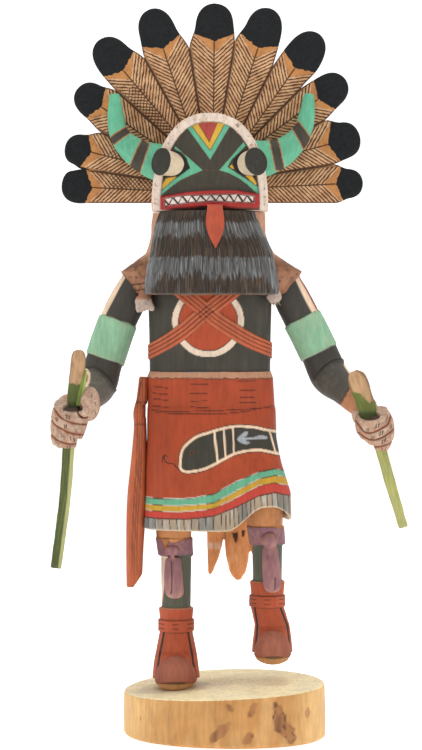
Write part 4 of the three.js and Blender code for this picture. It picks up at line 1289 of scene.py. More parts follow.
def make_eye(side):
    out, across, up = eye_basis(side)
    centre = np.array([-31.2, -21.6, 284.4]) if side == "right" else np.array([15.8, -21.6, 284.5])
    radius, length = 6.9, 11.0
    profile = [(-length, 6.6), (-length * 0.8, 6.4), (-6, 6.2), (-3, 6.3), (-1.6, 6.6), (-0.7, radius),
               (-0.2, radius), (0, radius - 0.35), (0.12, radius - 1), (0.2, 3), (0.22, 0.4)]
    fine = []
    for (a, r), (b, t) in zip(profile[:-1], profile[1:]):
        steps = max(int(np.hypot(b - a, t - r) / 0.3), 1)
        fine += [(mix(a, b, k / steps), mix(r, t, k / steps)) for k in range(steps)]
    fine.append(profile[-1])
    a = np.linspace(0, 2 * np.pi, 84, endpoint=False)
    circle = np.cos(a)[:, None] * across + np.sin(a)[:, None] * up
    rings = [centre + out * d + r * circle for d, r in fine]
    obj, p, n = carve(f"eye_{side}_stalk", *loft(rings))
    move_points(obj, p + n * (0.16 * noise(p, 3, 71))[:, None])
    d = (p - centre) @ out + 0.15 * noise(p, 2, 72)
    paint = Paint(p, rgb(206, 188, 162))
    paint.patches(0.3, (0.0, 0.8), 2, 73, rgb(186, 164, 138))
    paint.where(smooth(-0.75, -0.45, d), rgb(46, 45, 40))
    paint.patches(0.3, (0.1, 0.9), 2, 74, rgb(74, 68, 58), within=smooth(-0.6, -0.2, d))
    dress(obj, PAINTED, [f"eye_{side}"], paint.colour)


# ---------- horns ----------
HORNS = {
    "right": dict(path=[(-24, 0, 284), (-33.6, 2, 285.9), (-44.7, 4, 291.3), (-52.4, 5, 299.5),
                        (-54.3, 5.4, 309.8), (-54.8, 5.6, 320.2)],
                  bands=[[(-58, 297.4), (-48.5, 303.6), (-46.2, 301), (-55, 294.6)],
                         [(-47.4, 283), (-40.9, 297), (-37.2, 294.8), (-42.4, 279.6)]]),
    "left": dict(path=[(11, 0, 287), (20, 2, 287.6), (30.6, 4, 291.8), (38.6, 5, 300), (41.6, 5.4, 309.8),
                       (42.6, 5.6, 320.2)],
                 bands=[[(34, 303), (37.2, 306), (44, 296.8), (40.2, 291.6)],
                        [(22.4, 298.6), (26.4, 298.6), (30.2, 281.6), (25.8, 281.6)]]),
}


def make_horn(side):
    horn = HORNS[side]
    sizes = [(6, 9.4), (6, 9.2), (5.6, 7), (4.8, 5), (3.8, 4), (2.6, 2.6)]
    shaft = bar(horn["path"], sizes, 48, 90, across=(0, 1, 0))
    obj = fuse(f"horn_{side}_carved", [shaft], 0.56)
    p, n = points_of(obj), normals_of(obj)
    move_points(obj, p + n * (0.14 * noise(p, 4, 81))[:, None])
    q = flat(p)
    paint = Paint(p, rgb(96, 170, 138))
    paint.patches(0.35, (0, 0.9), 5, 82, rgb(84, 156, 126))
    paint.patches(0.35, (0.35, 0.9), 1.6, 83, rgb(124, 184, 158))
    for band in horn["bands"]:
        d = shape_distance(q, band) + 0.12 * noise(p, 2, 84)
        paint.where(soft_step(d - 0.45), rgb(176, 116, 66))
        paint.where(soft_step(d), rgb(62, 58, 50))
    dress(obj, PAINTED, [f"horn_{side}"], paint.colour)


# ---------- beard and tongue ----------
BEARD_TOP, BEARD_LOW = 260.4, 219.2


def beard_half(down):
    return mix(23.4, 33.1, np.sin(down * np.pi / 2))


def beard_centre(down):
    return mix(-8.3, -6.2, smooth(0.1, 0.52, down))


def beard_front(x, z):
    down = np.clip((BEARD_TOP - z) / (BEARD_TOP - BEARD_LOW), 0, 1)
    wide = beard_half(down) + 0.6
    return -24.6 - 6.4 * np.sin(down * 1.7) + 9 * np.abs(x / wide) ** 2.4


def make_beard():
    columns, rows = 316, 92
    t = np.linspace(-1, 1, columns)
    rings = []
    edge_noise = noise(np.stack([t * 33, 0 * t, 0 * t], -1), 0.9, 91)
    for k in range(rows):
        down = k / (rows - 1)
        wide = beard_half(down)
        centre = beard_centre(down)
        ragged = 0.45 * edge_noise * smooth(0.9, 1.0, down)
        z = mix(BEARD_TOP, BEARD_LOW, down) + ragged + 0.4 * smooth(0.9, 1, down)
        x = t * wide
        front = beard_front(x, z) + 2.2 * smooth(0.97, 1.0, np.abs(t))
        thick = mix(7.4, 8.6, down)
        s = np.linspace(0.97, -0.97, 24)
        bx = s * wide
        level = np.full(24, z.mean())
        back = beard_front(bx, level) + thick
        rings.append(np.vstack([np.stack([centre + x, front, z], -1),
                                np.stack([centre + bx, back, level], -1)]))
    obj, p, n = carve("beard_carved", *loft(rings))
    # Strands fan out from the chin: each has its own share of the width at every height.
    down = np.clip((BEARD_TOP - p[:, 2]) / (BEARD_TOP - BEARD_LOW), 0, 1)
    share = (p[:, 0] - beard_centre(down)) / beard_half(down)
    lane = np.stack([share * 30, 0 * share, down * 5], -1)
    front = p[:, 1] < beard_front(share * 30, p[:, 2]) + 4.5
    cuts = np.abs(noise(lane * [1, 1, 0.4], 0.34, 92))
    locks = noise(lane * [1, 1, 0.6], 2.4, 93)
    lift = (-0.3 * smooth(0.4, 0.0, cuts) + 0.2 * locks) * front
    move_points(obj, p + n * lift[:, None])

    paint = Paint(p, rgb(60, 50, 42))
    brown = smooth(0.2, 0.8, noise(lane * [1, 1, 0.3], 0.4, 94))
    paint.where(brown * 0.6, rgb(98, 70, 50))
    paint.where(smooth(0.3, 0.9, noise(lane * [1, 1, 0.25], 0.3, 95)) * 0.7, rgb(98, 96, 94))
    ragged = noise(lane * [1, 1, 0.0], 0.8, 96) * 1.8 + noise(lane * [1, 1, 0.0], 3.2, 97) * 1.0
    z = p[:, 2]
    band_high = smooth(247.2, 248.6, z + ragged) * smooth(255.4, 254.2, z + 0.5 * ragged)
    sides = smooth(0.66, 0.95, np.abs(share)) * 6
    band_low = smooth(227.6, 229.6, z + sides + 1.5 * ragged) * smooth(238.2, 237, z + 0.4 * ragged)
    gone = soft_step(np.abs(share * 30 - 2.2) - 4.6, 1.5)
    grey = np.maximum(band_high * (1 - gone), band_low)
    hair = mix(0.45, 1.0, smooth(-0.6, 0.1, noise(lane * [1, 1, 0.3], 0.32, 98)))
    paint.where(grey * hair * 0.85, rgb(98, 100, 102))
    paint.where(grey * smooth(0.15, 0.6, noise(lane * [1, 1, 0.3], 0.3, 99)) * 0.7, rgb(138, 140, 142))
    paint.where(smooth(0.35, 0.05, cuts) * 0.6, rgb(34, 28, 24))
    outer = smooth(0.82, 0.96, np.abs(share))
    paint.where(outer * smooth(-0.4, 0.4, noise(lane * [1, 1, 0.3], 0.3, 100)) * 0.7, rgb(116, 118, 120))
    paint.where(smooth(BEARD_LOW + 1, BEARD_LOW + 0.3, z) * 0.4, rgb(120, 118, 112))
    paint.where((1 - front) * 0.6, rgb(40, 34, 30))
    dress(obj, PAINTED, ["beard"], paint.colour)


def make_tongue():
    steps, columns = 60, 40
    rings = []
    for k in range(steps + 1):
        t = k / steps
        z = mix(263.2, 241.6, t)
        if t < 0.42:
            half = mix(3.8, 4.6, smooth(0, 0.42, t))
        else:
            half = 4.6 * max(1 - ((t - 0.42) / 0.58) ** 1.7, 0.03)
        x = mix(-4.6, -4.3, t)
        y = min(float(beard_front(0.0, min(z, BEARD_TOP))) - 0.35, MASK["front"] - 1.4) - 0.4
        a = np.linspace(0, np.pi, columns)
        ring = np.stack([x + half * np.cos(a), y - 1.9 * np.sin(a) ** 0.7, np.full(columns, z)], -1)
        rings.append(ring)
    points, faces = loft(rings)
    obj = make_object("tongue_carved", points, faces)
    p = points_of(obj)
    paint = Paint(p, rgb(172, 78, 56))
    paint.patches(0.4, (0, 0.9), 2.5, 101, rgb(172, 72, 52), [1, 1, 0.3])
    paint.where(smooth(262, 263, p[:, 2]) * 0.5, rgb(176, 60, 50))
    dress(obj, PAINTED, ["tongue"], paint.colour)


# ---------- cape ----------
def make_cape():
    rows = np.array([(186, -6.8, 2, 26, 20), (194, -6.8, 2, 28.6, 20.6), (210, -6.8, 2, 29.4, 20.8),
                     (218, -6.6, 1.6, 37.1, 20.6), (224, -6.5, 1.4, 40.7, 20), (231, -6.5, 1.4, 45.3, 18.6),
                     (235, -6.6, 1.2, 38.6, 17.6), (240, -6.8, 1, 32, 16.4), (245, -7.3, 1, 29.8, 16),
                     (250, -7.7, 1, 28.5, 15.6), (260.4, -7.7, 1, 28.3, 14.2)])
    top = rows[-1, 0]
    angles = np.linspace(0, 2 * np.pi, 220, endpoint=False)
    sin, cos = np.sin(angles), np.cos(angles)
    hem = mix(219.5, 186, smooth(0.5, 0.95, sin))
    hem = hem + 1.2 * np.exp(-(((np.abs(cos) - 0.98) / 0.05) ** 2))
    rings = []
    for t in np.linspace(0, 1, 95):
        z = mix(top, hem, t)
        x, y, wide, deep = (np.interp(z, rows[:, 0], rows[:, k]) for k in (1, 2, 3, 4))
        rings.append(oval(angles, z, x, y, wide, deep))
    for inset, rise in ((0.5, -0.35), (1.3, -0.3), (2.2, 0.4), (3.4, 6)):
        z = hem + rise
        x, y, wide, deep = (np.interp(z, rows[:, 0], rows[:, k]) for k in (1, 2, 3, 4))
        rings.append(oval(angles, z, x, y, wide - inset, deep - inset))
    obj, p, n = carve("skin_cape", *loft(rings))
    z = p[:, 2]
    folds = np.zeros(len(p))
    at_shoulder = (p[:, 0] < -34) * (p[:, 1] < 3)
    for height, slope in ((224.6, 0.12), (221.6, 0.1)):
        folds = np.maximum(folds, ridge_line(z - height - slope * (p[:, 0] + 42), 0.6) * at_shoulder)
    lines = ridge_line(noise(p * [0.5, 0.5, 1.6], 7, 111), 0.05) * smooth(0.0, 0.5, noise(p, 9, 112))
    lift = -0.45 * folds - 0.15 * lines + 0.4 * noise(p, 9, 113) + 0.12 * noise(p, 2.5, 114)
    move_points(obj, p + n * lift[:, None])
    paint = Paint(p, rgb(143, 98, 72))
    paint.patches(0.5, (-0.4, 0.8), 4.5, 115, rgb(172, 124, 92))
    paint.patches(0.5, (0.1, 0.8), 2.3, 116, rgb(122, 84, 64))
    paint.patches(0.6, (0.15, 0.6), 2.6, 117, rgb(82, 64, 54), [1, 1, 1.3])
    paint.patches(0.8, (0.55, 0.68), 1.7, 120, rgb(46, 38, 36))
    paint.patches(0.4, (0.35, 0.8), 1.3, 118, rgb(100, 78, 64))
    paint.where(smooth(0.2, 0.6, folds), rgb(60, 36, 26))
    paint.where(smooth(0.3, 0.8, lines) * 0.6, rgb(84, 52, 38))
    rolled = smooth(2.2, 0.8, np.abs(z - 234.6)) * (np.abs(p[:, 0] - AXIS) > 30)
    paint.where(rolled * 0.4, rgb(96, 62, 46))
    collar = smooth(236, 240, z)
    paint.where(collar * 0.9, rgb(186, 142, 116))
    paint.patches(0.5, (0.1, 0.8), 2.5, 119, rgb(164, 120, 92), within=collar)
    near_hem = z < np.where(p[:, 1] > 3, 0, 221.2)
    paint.where(near_hem * 0.45, rgb(112, 66, 44))
    dress(obj, PAINTED, ["cape"], paint.colour)
    for name, spot in (("paw_right", (-39.4, -10.8, 213.8)), ("paw_left", (24.9, -11.4, 218.4))):
        if name == "paw_right":
            pad = bar([(-40.3, -9.8, 218.6), (-39.8, -10.8, 215.4), (-38.9, -11.2, 211.6)],
                      [(3.3, 2.4), (4.3, 2.7), (4.6, 2.2)], 30, 20, 2.8)
            shapes = [pad, lump((-36.4, -11, 213.1), (2.2, 2.2, 1.9)),
                      lump((-41.8, -11, 212.6), (2.1, 2.2, 2))]
        else:
            radii = np.array([3.5, 2.4, 3.9])
            shapes = [lump(spot, radii), lump(np.add(spot, (-1.4, 0, -0.2)), radii * (0.75, 0.8, 0.45))]
        shapes.append(lump((spot[0], spot[1] + 3.4, spot[2] + 5), (3.2, 4.4, 4.4)))
        obj = fuse(name, shapes, 0.36)
        p, n = points_of(obj), normals_of(obj)
        move_points(obj, p + n * (0.3 * noise(p, 1.6, 121))[:, None])
        paint = Paint(p, rgb(178, 158, 146))
        paint.patches(0.55, (-0.1, 0.8), 1.1, 122, rgb(140, 122, 114))
        paint.where(smooth(spot[2] + 2.4, spot[2] + 4, p[:, 2]) * 0.9, rgb(150, 100, 72))
        dress(obj, PAINTED, ["cape"], paint.colour)
    shapes = [bar([(25.6 + k, -12.4, 215.4), (26 + 1.3 * k, -13.0, 214.2 - 0.2 * abs(k))],
                  [(0.4, 0.4), (0.2, 0.2)], 10, 6)
              for k in (-1.1, 0.2, 1.4)]
    obj = make_object("paw_claws", *join(shapes))
    paint = Paint(points_of(obj), rgb(150, 132, 104))
    dress(obj, PAINTED, ["cape"], paint.colour)


# ---------- arms ----------
ARMS = {
    "right": dict(path=[(-43.5, 3, 228), (-46.5, 4, 220), (-53.4, 6, 205.6), (-60.4, 8, 185.4),
                        (-63.4, 5.5, 174.6), (-66.5, -8, 169.5), (-73, -27, 162)],
                  band=(206.8, 187.6), out=-1, stripe=(140, 174), line=(174, 184),
                  crease=[(-70, 182.4), (-65.5, 183.6), (-61.3, 181.6), (-57.6, 178), (-54.5, 172.6)]),
    "left": dict(path=[(30.6, 3, 228), (33, 4, 220), (39.6, 6, 207), (47.8, 8, 190.6), (53, 5.5, 179),
                       (59.6, -7, 172.6), (69.6, -24, 163)],
                 band=(207.9, 190.9), out=1, stripe=(24, 50), line=(15, 24),
                 crease=[(45.4, 178), (46.9, 180.4), (50.4, 183.9), (54.4, 186.6), (60.5, 187.6)]),
}
BAND_BULGE = 1.8  # how much higher an arm band runs across the front than at the side
ARM_SIZES = [(7, 7.6), (8.8, 9.2), (9.2, 9.4), (9.3, 9.6), (9.4, 9.6), (7.8, 7.8), (6, 6.2)]


def make_arm(side):
    arm = ARMS[side]
    sides, steps = 100, 160
    path = np.array(arm["path"], float)
    points, faces = bar(path, ARM_SIZES, sides, steps)
    turn = np.degrees(np.append(np.tile(np.linspace(0, 2 * np.pi, sides, endpoint=False), steps), [0, 0]))
    obj = make_object(f"arm_{side}_carved", points, faces)
    p, n = points_of(obj), normals_of(obj)
    slope = path[3] - path[2]
    length = np.linalg.norm(slope)
    slope /= length
    middle = path[2] - slope * (path[2][2] - sum(arm["band"]) / 2) / slope[2]
    half = (arm["band"][0] - arm["band"][1]) / abs(slope[2]) / 2
    t = (p - middle) @ slope + 0.12 * noise(p, 4, 131)
    turned = smooth(-0.2, 0.9, -n[:, 1])
    t = t + BAND_BULGE * turned - 0.5 * BAND_BULGE
    band = np.abs(t) - half
    q = flat(p)
    front = p[:, 1] < 8
    crease_d = side_of(q, np.array(arm["crease"]))
    crease = ridge_line(crease_d, 0.6) * front * (t > half + 1)
    forearm = (crease_d < 0) & (t > half) & front
    lift = 0.75 * soft_step(band, 0.4) - 0.35 * crease
    lift += 0.5 * smooth(-3.5, -0.5, crease_d) * forearm
    lift += 0.14 * noise(p, 6, 132)
    move_points(obj, p + n * lift[:, None])
    paint = Paint(p, rgb(62, 59, 55))
    paint.patches(0.35, (0, 0.9), 4, 133, rgb(78, 71, 62), [1, 1, 0.4])
    # Below the elbow's crease the forearm is painted lighter, a painted highlight where the light falls on
    # it, weaker on the left arm.
    lit_forearm = smooth(-0.4, -3, crease_d) * (t > half) * front * (1.0 if side == "right" else 0.35)
    paint.where(lit_forearm * 0.9, rgb(98, 95, 87))
    paint.patches(0.4, (0.0, 0.8), 2, 134, rgb(128, 116, 100), within=lit_forearm)
    # Painted shade in the elbow's crease.
    paint.where(smooth(0.2, 0.8, crease) * 0.8, rgb(36, 32, 29))
    upper = soft_step(t + half, 0.3)
    lo, hi = arm["stripe"]
    soft = 1.5
    stripe = smooth(lo - soft, lo + soft, turn) * smooth(hi + soft, hi - soft, turn)
    paint.where(upper * smooth(lo - soft - 3, lo, turn) * smooth(lo + 3, lo, turn) * 0.5, rgb(150, 90, 66))
    paint.where(upper * stripe, rgb(226, 198, 172))
    lo, hi = arm["line"]
    paint.where(upper * smooth(lo - soft, lo + soft, turn) * smooth(hi + soft, hi - soft, turn),
                rgb(186, 96, 72))
    paint.where(soft_step(band - 0.25), rgb(54, 48, 40))
    sage = rgb(136, 178, 146)
    paint.where(soft_step(band), sage)
    paint.patches(0.45, (0.0, 0.9), 3, 135, rgb(152, 172, 138), [1, 1, 0.35], within=soft_step(band))
    paint.patches(0.35, (0.1, 0.9), 5, 136, rgb(116, 172, 146), within=soft_step(band))
    paint.patches(0.3, (0.4, 0.9), 1.2, 137, rgb(172, 168, 148), within=soft_step(band))
    paint.where(soft_step(np.abs(band + 0.15) - 0.3, 0.3) * 0.5, rgb(170, 178, 150))
    if side == "right":
        guard = np.hypot((q[:, 0] + 68.9) / 2.0, (q[:, 1] - 177.6) / 3.9)
        paint.where(front * soft_step(guard - 1.35, 0.1), rgb(40, 34, 30))
        paint.where(front * soft_step(guard - 1.25, 0.1), rgb(222, 200, 172))
        paint.where(front * soft_step(guard - 0.62, 0.1), rgb(150, 96, 66))
    else:
        guard = shape_distance(q, [(59.8, 187.6), (61.6, 186.4), (64.2, 181.4), (63.6, 179.4), (62, 180.2),
                                   (60, 184)])
        paint.where(front * soft_step(guard - 0.35), rgb(60, 50, 42))
        paint.where(front * soft_step(guard), rgb(220, 198, 170))
        cuff = (p[:, 0] - 61.15) * 0.878 - (p[:, 2] - 172.5) * 0.479
        paint.where(smooth(-0.2, 0.2, cuff) * (p[:, 1] < -4), rgb(176, 122, 88))
        paint.where(smooth(-0.2, 0.2, cuff) * smooth(0, 0.8, noise(p, 2, 138)) * (p[:, 1] < -4) * 0.5,
                    rgb(154, 100, 70))
        paint.where(soft_step(np.abs(cuff) - 0.3) * (p[:, 1] < -4), rgb(72, 48, 36))
    dress(obj, PAINTED, [f"arm_{side}"], paint.colour)


FISTS = {
    "right": dict(
        block=[(-75.3, -35.2, 166), (-75.4, -33.4, 161.4), (-75.4, -33, 158), (-76.9, -33, 150),
               (-76.7, -33, 148), (-75.7, -33, 145.6), (-75.6, -33, 144.4)],
        sizes=[(7.2, 7.6), (8.6, 9.2), (9.1, 9.8), (7.7, 9), (6.4, 8.2), (4.1, 6), (2.4, 4)],
        wrist=((-66.2, -26.6, 165.8), (5.6, 7, 8.6)),
        thumb=[(-65.6, -33, 170), (-66.8, -38.6, 167.4), (-67.4, -40.6, 162.8)], thumb_half=2.95,
        grooves=[[(-92, 172), (-86, 167.4), (-82.7, 163.7), (-79.7, 160.2), (-75.9, 157.9), (-72.2, 156.7),
                  (-66.2, 156)],
                 [(-93, 166.6), (-87.6, 162), (-84.3, 158.6), (-82, 156), (-78.7, 154.2), (-75.5, 152.5),
                  (-69.4, 151.1), (-66, 151)],
                 [(-93, 160), (-88, 156), (-84.6, 151.8), (-82, 149.3), (-78.7, 147.6), (-74.6, 146.5),
                  (-71.3, 146.7)]],
        heel=((-75.6, -26.4, 164), (7, 4.6, 6.8)),
        hole=(-73.3, 164.4), hole_size=(4.7, 2.3), out=-1,
        bold=[(-76.2, 160.2), (-74.8, 159.6), (-74.3, 149.5), (-72.7, 148.8), (-77.1, 155.1),
              (-76.3, 155.3), (-76, 144.9), (-74.8, 144.9)],
        faint=[(-79.2, 163.4), (-77.8, 163), (-81.3, 158.8), (-80.6, 158.4), (-72.2, 153.7), (-71.3, 153.3),
               (-78.7, 150.9), (-77.6, 150), (-82.7, 153.7), (-80.4, 146.5), (-68.7, 172.3), (-64.3, 170),
               (-62.7, 165.8), (-62.7, 161.6)]),
    "left": dict(
        block=[(71.4, -32.6, 161.2), (72.8, -30.8, 157), (74, -30.4, 154), (75.5, -30.4, 150),
               (76.1, -30.4, 145.6), (75.4, -30.4, 143.2)],
        sizes=[(8.2, 7), (9.3, 8.4), (9.2, 8.4), (7.7, 7.8), (4.9, 6), (2.4, 3)],
        wrist=((67.6, -23, 160.4), (5, 5.4, 6)), thumb=None, thumb_half=0,
        grooves=[[(63.4, 158), (65.4, 155.3), (67.3, 152.8), (69.4, 151.9), (72.4, 152.3), (76.6, 154.5),
                  (79.6, 156.6), (81.2, 160.4), (88, 167)],
                 [(65, 152), (67.9, 149.8), (70.3, 148.7), (73.2, 148.5), (76.6, 149.8), (79.6, 151.7),
                  (81.9, 153.4), (89, 160)],
                 [(69, 146.2), (71.5, 145.1), (74.5, 144.9), (77.9, 145.8), (81.3, 147.2), (89, 153)]],
        heel=((69.8, -23.4, 160.4), (7.4, 4.8, 6.6)),
        hole=(70.6, 160.6), hole_size=(4.6, 2.3), out=1,
        bold=[(73.4, 155.3), (74.7, 155.7), (75.4, 151.5), (76.6, 152.1), (76.6, 147.7), (77.9, 148.5)],
        faint=[(69, 153.2), (69.8, 153.4), (78.3, 158.3), (79, 159.1), (71.3, 149.6), (72.2, 149.8),
               (80.6, 154.9), (81.1, 155.3), (76.6, 143.5), (78.3, 143.9)]),
}


def make_fist(side):
    fist = FISTS[side]
    first, last = fist["block"][0], fist["block"][-1]
    shapes = [bar(fist["block"], fist["sizes"], 48, 40, 2.5), lump(*fist["wrist"]), lump(*fist["heel"])]
    thumb = fist["thumb"]
    if thumb:
        half = fist["thumb_half"]
        shapes += [bar(thumb, [(half * 1.1, half * 1.1), (half, half), (half, half * 0.9)], 24, 16),
                   lump(thumb[-1], (half, half * 0.9, half))]
    obj = fuse(f"hand_{side}", shapes, 0.38)
    p, n = points_of(obj), normals_of(obj)
    out = fist["out"]
    middle = np.interp(p[:, 2], [last[2], first[2]], [last[0], first[0]])
    behind = p[:, 1] > -32
    outer = (p[:, 0] - middle) * out > 0
    # Round the outer side the grooves go on, so those points are laid out flat beyond the edge.
    unrolled = np.where(behind & outer, p[:, 0] + out * (p[:, 1] + 32) * 0.7, p[:, 0])
    q = np.stack([unrolled, p[:, 2]], -1)
    gate = np.where(behind, outer * smooth(-20, -24, p[:, 1]), 1.0)
    lines = [spline(line, 24) for line in fist["grooves"]]
    cut = np.max([ridge_line(line_distance(q, line), 0.62) for line in lines], axis=0)
    wash = np.max([ridge_line(line_distance(q, line), 1.7) for line in lines], axis=0)
    if thumb:
        tip = np.array(thumb[-1])
        near = np.minimum(line_distance(flat(p), flat(np.array(thumb))) - half - 0.5, 9)
        near = np.where(p[:, 1] < -30, near, 9)
    else:
        near = np.full(len(p), 9.0)
    cut *= gate * smooth(-0.4, 0.4, near)
    seam = ridge_line(near, 0.7) * (p[:, 1] < -33) * (p[:, 2] < 168.5)
    hx, hz = fist["hole"]
    reach = np.hypot((p[:, 0] - hx) / fist["hole_size"][0], (p[:, 2] - hz) / fist["hole_size"][1])
    hole = soft_step(reach - 1, 0.25) * smooth(-27, -29, p[:, 1])
    lift = -0.6 * cut - 0.5 * seam + 0.12 * noise(p, 2.5, 141) - 1.9 * hole
    move_points(obj, p + n * lift[:, None])
    paint = Paint(p, rgb(180, 152, 132))
    paint.patches(0.6, (-0.3, 0.8), 2.2, 142, rgb(150, 112, 90))
    paint.patches(0.55, (0.0, 0.8), 1.2, 143, rgb(206, 186, 170), [1, 1, 2])
    paint.patches(0.5, (0.3, 0.8), 0.9, 146, rgb(128, 92, 74))
    if side == "right":
        fingers = smooth(6, 10, (p[:, 0] - fist["wrist"][0][0]) * out)
    else:
        fingers = smooth(-1, 4, hz - p[:, 2])
    paint.patches(0.35, (0.0, 0.7), 3.2, 144, rgb(172, 118, 82), within=fingers)
    stain = smooth(-0.5, 0.5, noise(p, 2.6, 147))
    paint.where(wash * gate * stain * 0.7, rgb(158, 92, 62))
    paint.where(smooth(0.15, 0.7, cut), rgb(108, 60, 42))
    paint.where(smooth(0.2, 0.7, seam), rgb(104, 58, 42))
    for ticks, strength, tone in ((fist["bold"], 0.95, rgb(36, 30, 28)),
                                  (fist["faint"], 0.65, rgb(66, 50, 42))):
        for tx, tz in ticks:
            lean = out * 0.16
            stroke = [(tx + lean, tz + 0.85), (tx - lean, tz - 0.85)]
            d = line_distance(flat(p), stroke) + 0.08 * noise(p, 0.8, 145)
            paint.where(soft_step(d - 0.26, 0.2) * (p[:, 1] < -24) * strength, tone)
    # Painted shade: the hole is painted near black.
    paint.where(hole * 0.9, rgb(44, 32, 27))
    if thumb:
        nail = np.hypot(p[:, 0] - tip[0] - 0.2, (p[:, 2] - tip[2] - 0.3) * 0.85)
        paint.where(soft_step(np.abs(nail - 1.8) - 0.15, 0.25) * (near < 0.2) * (p[:, 1] < tip[1]) * 0.5,
                    rgb(128, 84, 62))
    dress(obj, PAINTED, [f"arm_{side}"], paint.colour)


# ---------- whips ----------
WHIPS = {  # each row: x, y, z, half width, half thickness
    "right": dict(
        rows=[(-71, -32.7, 192.2, 1.2, 0.6), (-71, -32.8, 191.2, 2.6, 0.9), (-71, -32.9, 188, 3.6, 1.2),
              (-71.5, -33.1, 181, 3.6, 1.3), (-73, -33.2, 169, 3.4, 1.3), (-75.4, -33.4, 150, 3, 1.2),
              (-77.6, -33.5, 120, 2.8, 1.2), (-82, -33.6, 86, 2.6, 1)],
        change=[(-80, 176.4), (-74, 176), (-71, 175.4), (-66, 175)],
        dark=rgb(78, 86, 48), light=rgb(106, 116, 64), edge=rgb(172, 172, 118)),
    "left": dict(
        rows=[(62.9, -30.1, 181.8, 1.5, 0.6), (63.4, -30.2, 180.7, 3.1, 0.9),
              (64.6, -30.3, 178.2, 4.5, 1.1), (66.1, -30.4, 174, 4.9, 1.2), (67.6, -30.5, 169.7, 4.6, 1.3),
              (69, -30.6, 165.5, 4.5, 1.3), (70.5, -30.7, 161.2, 4.2, 1.3), (74.6, -30.8, 150, 2.9, 1.2),
              (81, -31, 127, 2.6, 1.2), (87.4, -31.2, 105.6, 2.2, 1)],
        change=[(62.2, 172), (66, 171), (68.2, 168.9), (70.7, 166.3), (72.4, 167.6)],
        dark=rgb(150, 152, 88), light=rgb(186, 184, 124), edge=rgb(196, 192, 136)),
}


def make_whip(side):
    whip = WHIPS[side]
    rows = np.array(whip["rows"])
    blade = bar(rows[:, :3], rows[:, 3:], 48, 190, 2.4)
    obj = make_object(f"whip_{side}_blade", *blade)
    p, n = points_of(obj), normals_of(obj)
    u = p[:, 0] - np.interp(p[:, 2], rows[::-1, 2], rows[::-1, 0])
    half = np.interp(p[:, 2], rows[::-1, 2], rows[::-1, 3])
    fibre = noise(np.stack([u * 3, 0 * u, p[:, 2] * 0.25], -1), 1.2, 151)
    keel = 0.35 * np.exp(-((u / 0.9) ** 2)) * (p[:, 1] < -31)
    move_points(obj, p + n * (0.1 * fibre + 0.12 * noise(p, 4, 152))[:, None]
                - np.array([0, 1, 0]) * (keel * 0.5)[:, None])
    paint = Paint(p, whip["dark"])
    paint.where(smooth(0, 0.8, fibre) * 0.5, whip["light"])
    if side == "right":
        paint.where(smooth(0.9, 1.3, u) * (p[:, 2] < 150), whip["edge"])
        paint.where(smooth(160, 166, p[:, 2]) * 0.5, rgb(94, 104, 54))
    else:
        upper = smooth(142, 158, p[:, 2])
        paint.where(upper, rgb(98, 106, 50))
        paint.where(upper * smooth(0, 0.8, fibre) * 0.4, rgb(126, 132, 70))
        paint.where(smooth(140, 100, p[:, 2]) * 0.35, whip["edge"])
    change = np.array(whip["change"])
    change_at = np.interp(p[:, 0], change[:, 0], change[:, 1])
    wood = smooth(-0.35, 0.35, p[:, 2] - change_at + 0.4 * noise(p, 1.5, 153))
    paint.where(wood, rgb(184, 148, 112))
    grain = noise(np.stack([u * 2.4, 0 * u, p[:, 2] * 0.35], -1), 1.4, 154)
    paint.where(wood * smooth(0, 0.8, grain) * 0.5, rgb(152, 112, 78))
    paint.patches(0.4, (0.35, 0.8), 2, 155, rgb(122, 92, 68), [1, 1, 0.4], within=wood)
    paint.where(wood * smooth(0.78, 0.96, np.abs(u) / half) * 0.6, rgb(92, 62, 44))
    # Painted shade on the blade where it goes into the fist's hole.
    hole = 160.6 if side == "left" else 165.0
    paint.where(smooth(2.6, 0.4, np.abs(p[:, 2] - hole)) * (1 - wood) * 0.7, rgb(52, 62, 36))
    dress(obj, PAINTED, [f"whip_{side}"], paint.colour)
    if side == "right":
        path = np.array([(-67.3, -33.4, 182.4), (-68.4, -34.2, 177), (-69.6, -34.8, 171),
                         (-70.8, -34.8, 165)])
        leaf = bar(path, [(0.4, 0.4), (1.2, 0.8), (1.4, 0.8), (1.3, 0.8)], 24, 60, across=(1, 0, 0.2))
        obj = make_object("whip_right_leaf", *leaf)
        p = points_of(obj)
        paint = Paint(p, rgb(112, 128, 58))
        paint.where(smooth(0.1, 0.6, p[:, 0] - np.interp(p[:, 2], path[::-1, 2], path[::-1, 0])),
                    rgb(158, 170, 96))
        dress(obj, PAINTED, ["whip_right"], paint.colour)


